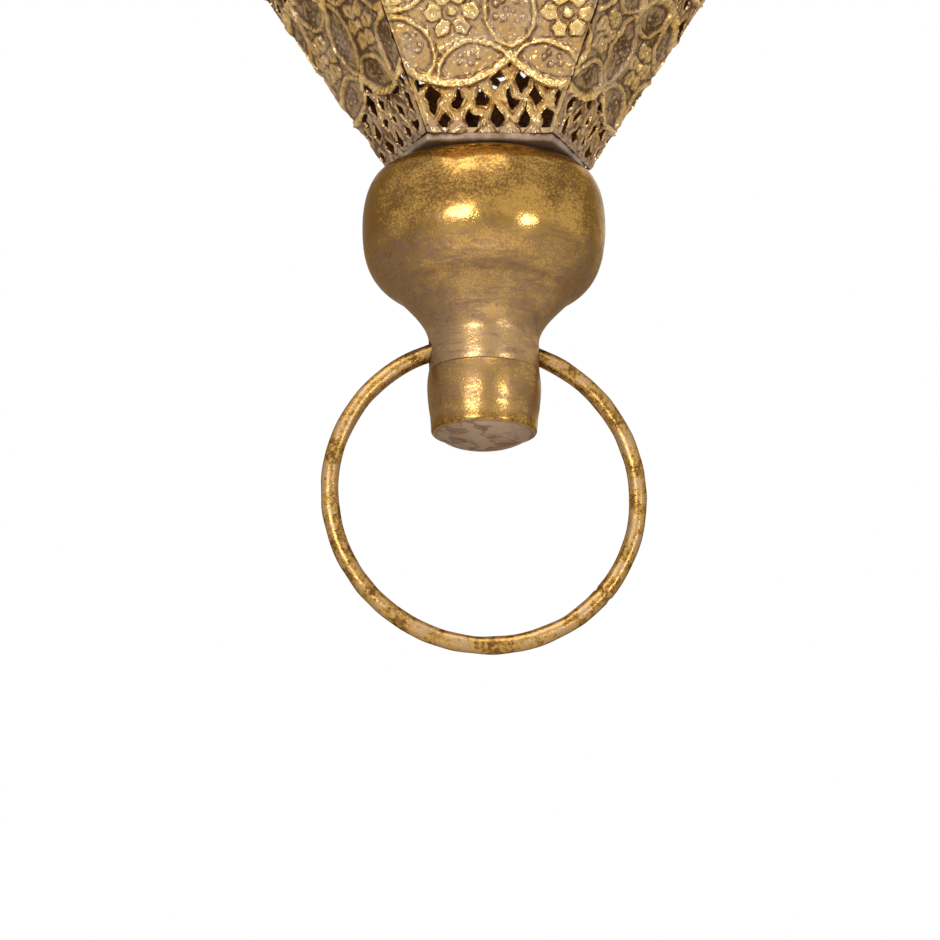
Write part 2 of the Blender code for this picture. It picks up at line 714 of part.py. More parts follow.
def build_door(materials, lamp, upper_base, belt_top, belt_inner, lean, slant):
    """The upper panel that folds out on a hinge behind the belt, with its leaf, brackets, pin and knob.

    Its foot stays whole, as the hinge leaf's seat.
    """
    turn = 2 * HALF_SIDE * DOOR_SIDE
    axis_up = belt_top + SEAT_GAP + HINGE_RADIUS
    face_out = FACE * BELT_CORNER_RADIUS + (axis_up - upper_base) * math.tan(lean)
    axis_out = face_out + HINGE_OFFSET / math.cos(lean)
    at_axis = Matrix.Rotation(turn, 3, "Z") @ Vector((0, -axis_out, axis_up))
    door = pivot("door_pivot", at_axis, lamp, turn)

    location, rotation = panel_place(BELT_CORNER_RADIUS, NECK_CORNER_RADIUS, UPPER_HEIGHT, upper_base, 0)
    location = location - Vector((0, -axis_out, axis_up))
    leaf_panel = panel(
        "door_panel",
        BELT_CORNER_RADIUS,
        NECK_CORNER_RADIUS,
        UPPER_HEIGHT,
        DOOR_BANDS,
        DOOR_CLIP_WIDTH,
        DOOR_CLIP_HEIGHT,
    )
    piece(leaf_panel, materials["stamped"], door, location, rotation)

    along = (0, math.radians(90), 0)
    in_panel = (math.radians(90) + lean, 0, 0)
    bore = HINGE_PIN + RUNNING_GAP
    leaf = tube("door_hinge_leaf", HINGE_RADIUS, bore, HINGE_KNUCKLE)
    piece(leaf, materials["antique"], door, rotation=along)
    plate_near = -HINGE_OFFSET + SEAT_GAP
    plate = block(
        "door_hinge_plate",
        (HINGE_KNUCKLE, HINGE_LEAF_LENGTH, HINGE_LEAF),
        (0, HINGE_LEAF_LENGTH / 2, plate_near + HINGE_LEAF / 2),
    )
    cutter(plate, door, rotation=in_panel)
    boolean(leaf, plate, "UNION")

    frame = pivot("hinge_frame", at_axis, lamp, turn)
    strap_out = belt_inner * FACE - SEAT_GAP - axis_out
    for word, way in (("left", -1), ("right", 1)):
        bracket = tube("hinge_bracket_" + word, HINGE_RADIUS, bore, HINGE_KNUCKLE)
        shift = way * (HINGE_KNUCKLE + SEAT_GAP)
        piece(bracket, materials["antique"], frame, (shift, 0, 0), along)
        strap_high = -bore
        strap_low = -SEAT_GAP - HINGE_RADIUS - HINGE_STRAP_DEPTH
        strap = block(
            "hinge_strap_" + word,
            (HINGE_KNUCKLE, HINGE_STRAP, strap_high - strap_low),
            (shift, -strap_out + HINGE_STRAP / 2, (strap_high + strap_low) / 2),
        )
        cutter(strap, frame)
        boolean(bracket, strap, "UNION")
    pin = round_bar("hinge_pin", HINGE_PIN, 3 * HINGE_KNUCKLE + 4 * SEAT_GAP)
    piece(pin, materials["steel"], frame, rotation=along)

    knob = turned(
        "door_knob",
        [
            (0, KNOB_HEIGHT),
            *bezier(
                (0, KNOB_HEIGHT),
                (KNOB_SWELL, KNOB_HEIGHT),
                (KNOB_SWELL, KNOB_UNDERSIDE),
                (KNOB_STEM_RADIUS, KNOB_STEM_TOP),
                CURVE_STEPS,
            ),
            (KNOB_STEM_RADIUS, KNOB_FOOT_HEIGHT),
            (KNOB_FOOT_RADIUS, 0),
            (0, 0),
        ],
        PIN_STEPS,
        on_axis=True,
    )
    panel_axes = Matrix.Rotation(in_panel[0], 3, "X")
    seat = (0, slant - KNOB_EDGE_DISTANCE, PANEL_THICKNESS / 2 + SEAT_GAP)
    piece(knob, materials["antique"], door, location + panel_axes @ Vector(seat), in_panel)


def build_crown(materials, lamp, top):
    """Crown, stem, stem nut and the lamp's own loop above the top plate."""
    base = top + SEAT_GAP
    head = base + CROWN_HEIGHT
    neck = (CROWN_NECK_RADIUS, head - CROWN_NECK_LENGTH)
    belly = (CROWN_RADIUS, base + CROWN_BELLY_HEIGHT)
    foot = (CROWN_BASE_RADIUS, base + CROWN_FOOT_HEIGHT)
    outer = [(STEM_RADIUS + SEAT_GAP, head), (CROWN_NECK_RADIUS, head), neck]
    outer += bezier(
        neck,
        (CROWN_NECK_RADIUS, neck[1] - CROWN_NECK_EASE),
        (CROWN_RADIUS, belly[1] + CROWN_BELLY_EASE),
        belly,
        CURVE_STEPS,
    )
    outer += bezier(
        belly,
        (CROWN_RADIUS, belly[1] - CROWN_UNDERSIDE_EASE),
        (CROWN_BASE_RADIUS, foot[1] + CROWN_FOOT_EASE),
        foot,
        CURVE_STEPS // 2,
    )
    outer.append((CROWN_BASE_RADIUS, base))
    crown = turned("crown", outer, wall=CROWN_WALL)
    piece(crown, materials["antique"], lamp)

    collar = head + SEAT_GAP
    place_loop("lamp_loop", True, True, materials["antique"], lamp, (0, 0, collar), math.radians(90))

    stem_top = collar + COLLAR_BORE_DEPTH / 2 - FLEX_HOLE - SEAT_GAP
    stem_end = top - PLATE_WALL - STEM_DROP
    stem = tube("stem_tube", STEM_RADIUS, STEM_BORE, stem_top - stem_end)
    piece(stem, materials["steel"], lamp, (0, 0, (stem_top + stem_end) / 2))

    nut = hex_nut("stem_nut", NUT_ACROSS_FLATS, NUT_HEIGHT, STEM_RADIUS + SEAT_GAP)
    piece(nut, materials["steel"], lamp, (0, 0, top - PLATE_WALL - SEAT_GAP - NUT_HEIGHT / 2))
    return collar, stem_end


def build_lamp_holder(materials, lamp, stem_end):
    """Porcelain holder on the stem, its contacts, and the bulb."""
    porcelain = materials["porcelain"]
    cap_top = stem_end + STEM_IN_HOLDER
    cap_low = cap_top - HOLDER_CAP_HEIGHT
    bore = STEM_RADIUS + SEAT_GAP
    shoulder = (HOLDER_CAP_SHOULDER, cap_top - HOLDER_CAP_NECK)
    cap_edge = (HOLDER_RADIUS, cap_low)
    cap = turned(
        "holder_cap",
        [
            (HOLDER_CAP_SHOULDER, cap_top),
            shoulder,
            *bezier(
                shoulder,
                (HOLDER_CAP_REACH, shoulder[1]),
                (HOLDER_RADIUS, shoulder[1] - HOLDER_CAP_EASE),
                cap_edge,
                CURVE_STEPS,
            ),
            (bore, cap_low),
            (bore, cap_top),
        ],
        SMALL_STEPS,
    )
    piece(cap, porcelain, lamp)

    body_top = cap_low - SEAT_GAP
    body_low = body_top - HOLDER_BODY_HEIGHT
    inside = HOLDER_RADIUS - HOLDER_WALL
    base_low = body_top - HOLDER_BASE_THICKNESS
    body = turned(
        "holder_body",
        [
            (HOLDER_RADIUS, body_top),
            (HOLDER_RADIUS, body_low + HOLDER_RIM),
            (HOLDER_RADIUS + HOLDER_RIM, body_low + HOLDER_RIM),
            (HOLDER_RADIUS + HOLDER_RIM, body_low),
            (inside, body_low),
            (inside, base_low),
            (CONTACT_RADIUS + SEAT_GAP, base_low),
            (CONTACT_RADIUS + SEAT_GAP, body_top),
        ],
        SMALL_STEPS,
    )
    piece(body, porcelain, lamp)

    contact_low = base_low - CONTACT_HEIGHT
    contact = turned(
        "holder_centre_contact",
        [
            (0, body_top - SEAT_GAP),
            (CONTACT_RADIUS, body_top - SEAT_GAP),
            (CONTACT_RADIUS, base_low - SEAT_GAP),
            (CONTACT_TIP_RADIUS, contact_low),
            (0, contact_low),
        ],
        PIN_STEPS,
        on_axis=True,
    )
    piece(contact, materials["contact"], lamp)

    shell_top = base_low - SEAT_GAP
    shell_radius = BULB_CAP_RADIUS + SEAT_GAP + SHELL_WALL
    shell_flange = inside - SEAT_GAP
    shell = turned(
        "holder_screw_shell",
        [
            (shell_flange, shell_top),
            (shell_flange, shell_top - SHELL_WALL),
            (shell_radius, shell_top - SHELL_WALL),
            (shell_radius, shell_top - SHELL_LENGTH),
            (shell_radius - SHELL_WALL, shell_top - SHELL_LENGTH),
            (shell_radius - SHELL_WALL, shell_top),
        ],
        SMALL_STEPS,
    )
    piece(shell, materials["contact"], lamp)

    bulb_top = contact_low - SEAT_GAP
    neck_low = bulb_top - BULB_CAP_LENGTH
    bulb_cap = turned(
        "bulb_cap",
        [
            (0, bulb_top),
            (BULB_CAP_TIP_RADIUS, bulb_top),
            (BULB_CAP_RADIUS, bulb_top - BULB_CAP_TAPER),
            (BULB_CAP_RADIUS, neck_low),
            (0, neck_low),
        ],
        SMALL_STEPS,
        on_axis=True,
    )
    piece(bulb_cap, materials["contact"], lamp)

    glass_top = neck_low - SEAT_GAP
    glass_low = glass_top - BULB_LENGTH
    middle = glass_low + BULB_RADIUS
    start = (BULB_CAP_RADIUS, glass_top)
    dome = [math.pi / 2 * i / BULB_DOME_STEPS for i in range(1, BULB_DOME_STEPS)]
    glass = turned(
        "bulb_glass",
        [
            start,
            *bezier(
                start,
                (BULB_CAP_RADIUS, glass_top - BULB_NECK_EASE),
                (BULB_RADIUS, middle + BULB_BELLY_EASE),
                (BULB_RADIUS, middle),
                CURVE_STEPS,
            ),
            *[(BULB_RADIUS * math.cos(a), middle - BULB_RADIUS * math.sin(a)) for a in dome],
            (0, glass_low),
        ],
        SMALL_STEPS,
        on_axis=True,
        wall=BULB_WALL,
    )
    piece(glass, materials["glass"], lamp)


def finial_outline(foot):
    """The finial's outer line from its top hole down to the end of its spigot."""
    top = (FINIAL_SHOULDER_RADIUS, foot + FINIAL_HEIGHT)
    belly = (FINIAL_RADIUS, foot + FINIAL_BELLY_HEIGHT)
    waist = (FINIAL_WAIST_RADIUS, foot + FINIAL_WAIST_HEIGHT)
    neck = (FINIAL_NECK_RADIUS, foot + FINIAL_NECK_HEIGHT)
    rise = top[1] - belly[1]
    fall = belly[1] - waist[1]
    drop = waist[1] - neck[1]
    reach = FINIAL_RADIUS - FINIAL_WAIST_RADIUS
    lip = foot + END_CAP_HEIGHT + SEAT_GAP
    outer = [(ROD_RADIUS + SEAT_GAP, top[1]), top]
    outer += bezier(
        top,
        (top[0] + SHOULDER_REACH * (belly[0] - top[0]), top[1] - SHOULDER_DROP * rise),
        (belly[0], belly[1] + BELLY_RISE * rise),
        belly,
        CURVE_STEPS,
    )
    outer += bezier(
        belly,
        (belly[0], belly[1] - BELLY_FALL * fall),
        (waist[0] + WAIST_REACH * reach, waist[1] + WAIST_RISE * fall),
        waist,
        CURVE_STEPS,
    )
    outer += bezier(
        waist,
        (waist[0] - NECK_REACH * reach, waist[1] - NECK_DROP * drop),
        (neck[0], neck[1] + NECK_RISE * drop),
        neck,
        CURVE_STEPS,
    )
    outer += [
        (FINIAL_NECK_RADIUS, lip),
        (FINIAL_SPIGOT_RADIUS, lip),
        (FINIAL_SPIGOT_RADIUS, lip - FINIAL_SPIGOT_LENGTH),
    ]
    return outer


def build_finial(materials, lamp):
    """Finial shell, its end cap, the rod and nuts that hold it, and the pull ring."""
    antique = materials["antique"]
    head = -SEAT_GAP - BASE_PLATE_WALL - SEAT_GAP
    foot = head - FINIAL_HEIGHT
    turn = (0, 0, RING_TURN)
    shell = turned("finial_bulb", finial_outline(foot), wall=FINIAL_WALL)
    piece(shell, antique, lamp, rotation=turn)
    axis = foot + RING_PIVOT_HEIGHT
    holes = round_bar("finial_ring_holes", RING_HOLE, 4 * FINIAL_NECK_RADIUS)
    cutter(holes, shell, (0, 0, axis), (0, math.radians(90), 0))
    boolean(shell, holes, "DIFFERENCE")

    swell = (END_CAP_RADIUS, foot + END_CAP_SWELL_HEIGHT)
    rim = (END_CAP_RIM_RADIUS, foot + END_CAP_HEIGHT)
    edge = (END_CAP_FOOT_RADIUS, foot + END_CAP_EDGE)
    under = (END_CAP_FOOT_RADIUS - END_CAP_EDGE, foot)
    bore = FINIAL_SPIGOT_RADIUS + SEAT_GAP
    socket = foot + END_CAP_HEIGHT - FINIAL_SPIGOT_LENGTH
    cap = turned(
        "finial_end_cap",
        [
            (0, socket),
            (bore, socket),
            (bore, rim[1]),
            rim,
            *bezier(
                rim,
                (END_CAP_RADIUS, rim[1]),
                (END_CAP_RADIUS, rim[1] - END_CAP_RIM_EASE),
                swell,
                CURVE_STEPS,
            ),
            edge,
            under,
            (under[0] / 2, foot - END_CAP_DOME_SHOULDER),
            (0, foot - END_CAP_DOME),
        ],
        on_axis=True,
    )
    piece(cap, antique, lamp, rotation=turn)

    rod_top = ROD_NUT_HEIGHT + ROD_END
    rod_low = head - FINIAL_WALL - SEAT_GAP - ROD_NUT_HEIGHT - ROD_END
    rod = round_bar("finial_rod", ROD_RADIUS, rod_top - rod_low)
    piece(rod, materials["steel"], lamp, (0, 0, (rod_top + rod_low) / 2))
    for word, centre in (
        ("upper", ROD_NUT_HEIGHT / 2),
        ("lower", head - FINIAL_WALL - SEAT_GAP - ROD_NUT_HEIGHT / 2),
    ):
        nut = hex_nut("finial_nut_" + word, ROD_NUT_ACROSS_FLATS, ROD_NUT_HEIGHT, ROD_RADIUS + SEAT_GAP)
        piece(nut, materials["steel"], lamp, (0, 0, centre))

    ring_pivot = pivot("ring_pivot", (0, 0, axis), lamp, RING_TURN)
    in_wall = FINIAL_NECK_RADIUS - FINIAL_WALL / 2
    centre = -math.sqrt(RING_RADIUS**2 - in_wall**2)
    half_gap = RING_JOINT_GAP / 2 / RING_RADIUS
    points = []
    for i in range(RING_SEGMENTS + 1):
        angle = RING_JOINT_ANGLE + half_gap + (2 * math.pi - 2 * half_gap) * i / RING_SEGMENTS
        points.append((RING_RADIUS * math.cos(angle), 0, centre + RING_RADIUS * math.sin(angle)))
    piece(wire("pull_ring", points, RING_ROD, False), antique, ring_pivot)


def main():
    global PIECES, CUTTERS
    clear_scene()
    PIECES = new_collection("hanging_lantern")
    CUTTERS = new_collection("hanging_lantern_cutters")
    materials = make_materials()

    first_axis = build_ceiling_fitting(materials)
    lamp_axis = build_chain(first_axis, materials["antique"])

    lamp_pivot = pivot("lamp_pivot", (0, 0, lamp_axis))
    lamp = pivot("lamp_base", (0, 0, 0), lamp_pivot)
    top = build_body(materials, lamp)
    collar, stem_end = build_crown(materials, lamp, top)
    build_lamp_holder(materials, lamp, stem_end)
    build_finial(materials, lamp)
    loop_top = collar + COLLAR_HEIGHT - LOOP_SINK + 2 * LOOP_RADIUS
    lamp.location.z = LINK_WIRE + SEAT_GAP + LOOP_WIRE - loop_top


main()
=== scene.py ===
"""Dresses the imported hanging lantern: stamped panels, spun finial, pull ring, chain and fittings."""

import math

import bmesh
import bpy
from bpy.props import FloatProperty, FloatVectorProperty, IntProperty, PointerProperty
from mathutils import Matrix, Vector, noise


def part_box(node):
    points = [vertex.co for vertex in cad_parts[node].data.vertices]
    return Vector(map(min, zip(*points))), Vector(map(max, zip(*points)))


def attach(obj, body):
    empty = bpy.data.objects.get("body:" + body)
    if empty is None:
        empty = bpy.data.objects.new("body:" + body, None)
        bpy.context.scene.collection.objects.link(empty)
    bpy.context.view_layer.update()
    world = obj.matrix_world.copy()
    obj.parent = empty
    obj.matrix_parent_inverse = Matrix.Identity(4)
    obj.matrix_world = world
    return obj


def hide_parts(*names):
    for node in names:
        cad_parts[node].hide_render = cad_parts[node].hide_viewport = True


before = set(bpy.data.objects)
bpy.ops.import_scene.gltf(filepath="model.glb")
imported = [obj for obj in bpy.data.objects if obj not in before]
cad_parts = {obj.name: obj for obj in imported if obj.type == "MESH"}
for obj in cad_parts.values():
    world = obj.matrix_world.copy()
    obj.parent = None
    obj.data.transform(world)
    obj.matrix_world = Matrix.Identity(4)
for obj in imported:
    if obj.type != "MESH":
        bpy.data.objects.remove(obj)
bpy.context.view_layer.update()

bl_info = {
    "name": "Hanging lantern",
    "version": (1, 0, 0),
    "blender": (4, 5, 0),
    "location": "View3D > Sidebar > Lantern",
    "description": "Builds the looks of a five-sided brass hanging lantern round its packed model",
    "category": "Object",
}

MM = 0.001
SEAT_GAP = 0.3 * MM

# Five-sided body, as in the solids
SIDES = 5
HALF_SIDE = math.pi / SIDES
FACE = math.cos(HALF_SIDE)
CORNER = math.sin(HALF_SIDE)
SIDE_WORDS = ("front", "right", "back_right", "back_left", "left")
BASE_CORNER_RADIUS = 29.9 * MM
BELT_CORNER_RADIUS = 118.3 * MM
NECK_CORNER_RADIUS = 34 * MM
LOWER_HEIGHT = 134 * MM
UPPER_HEIGHT = 88 * MM
PANEL_THICKNESS = 0.8 * MM
DOOR_SIDE = 2
DOOR_CLIP_WIDTH = 9 * MM
DOOR_CLIP_HEIGHT = 14 * MM

# Finial, its end cap and the ring, as in the solids
FINIAL_HEIGHT = 74.7 * MM
FINIAL_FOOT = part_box("finial_bulb")[1][2] - FINIAL_HEIGHT
RING_AXIS = FINIAL_FOOT + 21.8 * MM
RING_HOLE_REACH = 14.4 * MM
RING_TURN = math.radians(6.5)
RING_JOINT_ANGLE = math.radians(-40)
BODY_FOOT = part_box("lower_panel_front")[0][2]
FOOT_ASIDE = 1.3 * MM

# Cable bush beside the canopy's middle, and the bulb's screw thread in millimetres
BUSH_ASIDE = 17 * MM
THREAD_PITCH = 3.6

# How far the stamped ground lies behind the solid panel's outer face
STAMPED_BACK = 0.2 * MM

# The stamped pattern, in millimetres: five values go from the front side round, two take turns
LOWER_FIRST_ROWS = (32.8, 31.6, 24.5, 24.5, 35.0)
LOWER_SHIFTS = (5.5, -2.0, 3.2, -4.0, -2.75)
# Patina of each lower side with painted shade: the sides away from the front get more, so they look darker
LOWER_PATINA_AND_SHADE = (0.07, 0.26, 0.2, 0.2, 0.32)
UPPER_FIRST_ROW = 36.0
UPPER_SHIFTS = (-2.4, 1.6)
UPPER_PATINA = 0.1
FOOT_HEM = 1.4
DOOR_FOOT_HEM = 26.0
HEAD_HEM = 3.0
SIDE_HEM = 1.0
RIM_WIDTH = 1.2

# Camera of the photograph
PHOTO_AZIMUTH = math.radians(-0.5)
PHOTO_ELEVATION = math.radians(-15.5)
PHOTO_DISTANCE = 1.6
PHOTO_WIDTH = 0.254
PHOTO_LEFT = 3.86 * MM
PHOTO_UP = 6.6 * MM
SENSOR_WIDTH = 36

# Studio, in metres
LIT_HEIGHT = -0.5
FLOOR_HEIGHT = -1.5
FLOOR_HALF_SIZE = 40

# Kinds of node that are used most
MATH = "ShaderNodeMath"
VECTOR_MATH = "ShaderNodeVectorMath"
RANGE = "ShaderNodeMapRange"
NOISE = "ShaderNodeTexNoise"
MIX = "ShaderNodeMix"
BUMP = "ShaderNodeBump"
VECTOR = "ShaderNodeCombineXYZ"
COMPARE = "FunctionNodeCompare"

# Sockets of a colour mix by number, because other kinds of mix share their names
FIRST = 6
SECOND = 7
MIXED = 2


def linear(text):
    """An sRGB hex colour as linear red, green, blue and alpha."""
    parts = [int(text[i:i + 2], 16) / 255 for i in (1, 3, 5)]
    return (*[c / 12.92 if c <= 0.04045 else ((c + 0.055) / 1.055) ** 2.4 for c in parts], 1.0)


def colour_property(name, description, text):
    return FloatVectorProperty(
        name=name, description=description, default=linear(text), subtype="COLOR", size=4)


def length_property(name, description, millimetres):
    return FloatProperty(name=name, description=description, default=millimetres * MM, unit="LENGTH")


class LanternSizes(bpy.types.PropertyGroup):
    """Sizes of the stamped pattern and of the wire pieces."""

    medallion_radius: length_property("Medallion radius", "Radius of a medallion's ring ridge", 19.4)
    medallion_pitch: length_property("Medallion pitch", "Spacing of medallions in a row", 31.5)
    medallion_rise: length_property("Row rise", "Height from one row of medallions to the next", 46)
    lattice_pitch: length_property("Lattice pitch", "Width of a lattice diamond", 7)
    lattice_rise: length_property("Lattice rise", "Height of a lattice diamond", 11.5)
    lattice_bar: length_property("Lattice bar", "Width of a bar between piercings", 2.1)
    sheet: length_property("Sheet", "Thickness of the stamped sheet", 0.6)
    ring_radius: length_property("Ring radius", "Radius of the pull ring at its wire's middle", 42)
    ring_rod: length_property("Ring rod", "Radius of the pull ring's wire", 2.4)
    link_wire: length_property("Link wire", "Radius of the chain's wire", 1.7)
    pattern_seed: IntProperty(
        name="Pattern seed", description="Seed of the hand-worked unevenness", default=3)


class LanternColours(bpy.types.PropertyGroup):
    """Colours of the lantern's finishes."""

    gold: colour_property("Gold", "Rubbed brass", "#B98F4A")
    tan: colour_property("Tan", "Brass under thin patina", "#A28462")
    umber: colour_property("Umber", "Patina in smears and pores", "#614322")
    bright: colour_property("Bright", "Brass rubbed bare on ridges", "#E0BD7A")
    recess: colour_property("Recess", "Patina left in the stamped hollows", "#654C33")
    bloom: colour_property("Bloom", "Grey-pink bloom of old lacquer", "#A08A78")
    edge: colour_property("Edge", "Tint of the brass at a glancing view", "#CDC0AC")
    smear: colour_property("Smear", "Purple-brown smears of old polish", "#785C4A")
    inside: colour_property("Inside", "Unpolished inner side of the sheet", "#A5612C")
    steel: colour_property("Steel", "Zinc-plated steel", "#B9BAB6")
    porcelain: colour_property("Porcelain", "Glazed porcelain", "#EFEBE2")
    rubber: colour_property("Rubber", "Black rubber", "#1E1D1C")
    glass: colour_property("Glass", "Frosted bulb glass", "#F4F1E8")
    floor: colour_property("Floor", "Pale studio floor", "#ECEAE6")


def feed(tree, node, inputs):
    """Sets a node's inputs: each from a value, a socket, a node's first output, or a list of nodes."""
    for key, given in inputs.items():
        for source in given if isinstance(given, list) else [given]:
            if isinstance(source, bpy.types.Node):
                source = source.outputs[0]
            if isinstance(source, bpy.types.NodeSocket):
                tree.links.new(source, node.inputs[key])
            else:
                node.inputs[key].default_value = source


def add(tree, kind, *given, **settings):
    """A new node with its settings and its inputs, given in order or in a dictionary by name or number."""
    node = tree.nodes.new(kind)
    for key, value in settings.items():
        setattr(node, key, value)
    for order, source in enumerate(given):
        feed(tree, node, source if isinstance(source, dict) else {order: source})
    return node


# Materials


def finish(name):
    """An empty material: itself, its tree, its shader and the object coordinates in metres."""
    material = bpy.data.materials.new(name)
    material.use_nodes = True
    tree = material.node_tree
    shader = tree.nodes["Principled BSDF"]
    coordinates = add(tree, "ShaderNodeTexCoord").outputs["Object"]
    return material, tree, shader, coordinates


def clouded(tree, place, size, first, second, span, most=1.0, detail=4.0, rough=0.5):
    """A noise of a size in millimetres, and a first colour clouded by a second over a span of it."""
    cloud = add(tree, NOISE, {
        "Vector": place, "Scale": 1 / (size * MM), "Detail": detail, "Roughness": rough})
    share = add(tree, RANGE, {"Value": cloud, "From Min": span[0], "From Max": span[1], "To Max": most})
    colour = add(tree, MIX, {"Factor": share, FIRST: first, SECOND: second}, data_type="RGBA")
    return cloud, colour.outputs[MIXED]


def antique_brass(colours):
    """Spun and cast brass, patinated and rubbed back: gold that breaks up into brown grain, and dull
    bloom.

    The bloom attribute says where hands never rub: grey-pink and matt there.
    """
    material, tree, shader, place = finish("antique_brass_rubbed")
    bloom = add(tree, "ShaderNodeAttribute", attribute_name="bloom").outputs["Fac"]
    cloud = add(tree, NOISE, {"Vector": place, "Scale": 1 / (14 * MM), "Detail": 3.0, "Roughness": 0.6})
    level = add(tree, "ShaderNodeMapping", {"Vector": place, "Scale": (1.0, 1.0, 3.2)})
    rub = add(tree, NOISE, {
        "Vector": level, "Scale": 1 / (9 * MM), "Detail": 6.0, "Roughness": 0.72, "Distortion": 1.2})
    grain = add(tree, NOISE, {"Vector": place, "Scale": 1 / (0.6 * MM), "Detail": 2.0, "Roughness": 0.6})
    broad = add(tree, MATH, cloud, 0.9, operation="MULTIPLY")
    marked = add(tree, MATH, rub, 0.6, broad, operation="MULTIPLY_ADD")
    # The patina attribute holds patina and painted shade on the flanks as seen from the front
    patina_and_side_shade = add(tree, "ShaderNodeAttribute", attribute_name="patina").outputs["Fac"]
    deeper = add(tree, MATH, patina_and_side_shade, 0.3, marked, operation="MULTIPLY_ADD")
    broken = add(tree, MATH, grain, 0.8, deeper, operation="MULTIPLY_ADD")
    # Umber where grain and rubbing run deep, made deeper on the flanks by their painted shade
    patina = add(tree, RANGE, {"Value": broken, "From Min": 1.02, "From Max": 1.32, "To Max": 0.9})
    bloom_base = add(tree, MATH, rub, 0.7, bloom, operation="MULTIPLY_ADD")
    bloom_tone = add(tree, MATH, grain, 1.0, bloom_base, operation="MULTIPLY_ADD")
    bloom_share = add(tree, RANGE, {
        "Value": bloom_tone, "From Min": 1.02, "From Max": 1.56, "To Max": 0.85})
    greyed = add(tree, RANGE, bloom, 0.4, 1.0)
    bloom_colour = add(tree, MIX, {
        "Factor": greyed, FIRST: colours.tan, SECOND: colours.bloom}, data_type="RGBA")
    rubbed = add(tree, MIX, {
        "Factor": patina, FIRST: colours.gold, SECOND: colours.umber}, data_type="RGBA")
    bloomed = add(tree, MIX, {
        "Factor": bloom_share, FIRST: rubbed.outputs[MIXED],
        SECOND: bloom_colour.outputs[MIXED]}, data_type="RGBA")
    smear = add(tree, RANGE, {"Value": rub, "From Min": 0.49, "From Max": 0.68, "To Max": 1.8})
    smear_share = add(tree, MATH, smear, bloom, operation="MULTIPLY", use_clamp=True)
    smeared = add(tree, MIX, {
        "Factor": smear_share, FIRST: bloomed.outputs[MIXED], SECOND: colours.smear}, data_type="RGBA")
    dull = add(tree, RANGE, deeper, 0.62, 1.05, 0.1, 0.4)
    matt = add(tree, MATH, bloom_share, 0.3, dull, operation="MULTIPLY_ADD")
    dents = add(tree, BUMP, {"Strength": 0.4, "Distance": 0.8 * MM, "Height": cloud})
    porous = add(tree, RANGE, bloom, 0.1, 0.5, 0.06, 0.22)
    pores = add(tree, BUMP, {"Strength": porous, "Distance": 0.3 * MM, "Height": grain, "Normal": dents})
    feed(tree, shader, {
        "Base Color": smeared.outputs[MIXED], "Roughness": matt, "Normal": pores, "Metallic": 0.92,
        "Specular Tint": colours.edge})
    return material


def worn_rod(colours):
    """Bent brass rod: gold rubbed through in streaks, pinkish brown patches between them."""
    material, tree, shader, place = finish("antique_brass_worn_rod")
    patch = add(tree, NOISE, {"Vector": place, "Scale": 1 / (7 * MM), "Detail": 5.0, "Roughness": 0.7})
    streak = add(tree, NOISE, {
        "Vector": place, "Scale": 1 / (1.8 * MM), "Detail": 4.0, "Roughness": 0.7})
    grain = add(tree, NOISE, {"Vector": place, "Scale": 1 / (0.8 * MM), "Detail": 2.0})
    uneven = add(tree, MATH, streak, 0.5, patch, operation="MULTIPLY_ADD")
    broken = add(tree, MATH, grain, 0.4, uneven, operation="MULTIPLY_ADD")
    bloom_share = add(tree, RANGE, {"Value": broken, "From Min": 0.92, "From Max": 1.1, "To Max": 0.75})
    dark_share = add(tree, RANGE, {"Value": broken, "From Min": 0.98, "From Max": 0.8, "To Max": 0.9})
    first = add(tree, MIX, {
        "Factor": bloom_share, FIRST: colours.gold, SECOND: colours.bloom}, data_type="RGBA")
    second = add(tree, MIX, {
        "Factor": dark_share, FIRST: first.outputs[MIXED], SECOND: colours.umber}, data_type="RGBA")
    dull = add(tree, RANGE, broken, 0.8, 1.1, 0.16, 0.42)
    pitted = add(tree, BUMP, {"Strength": 0.35, "Distance": 0.4 * MM, "Height": streak})
    feed(tree, shader, {
        "Base Color": second.outputs[MIXED], "Roughness": dull, "Normal": pitted, "Metallic": 0.92,
        "Specular Tint": colours.umber})
    return material


def dull_plate(colours):
    """Sheet brass that was never polished: grey-brown, dull, with solder flux stains."""
    material, tree, shader, place = finish("antique_brass_dull_sheet")
    stain, colour = clouded(
        tree, place, 8, colours.bloom, colours.recess, (0.38, 0.66), detail=5.0, rough=0.65)
    bump = add(tree, BUMP, {"Strength": 0.4, "Distance": 0.6 * MM, "Height": stain})
    feed(tree, shader, {"Base Color": colour, "Normal": bump, "Metallic": 0.7, "Roughness": 0.5})
    return material


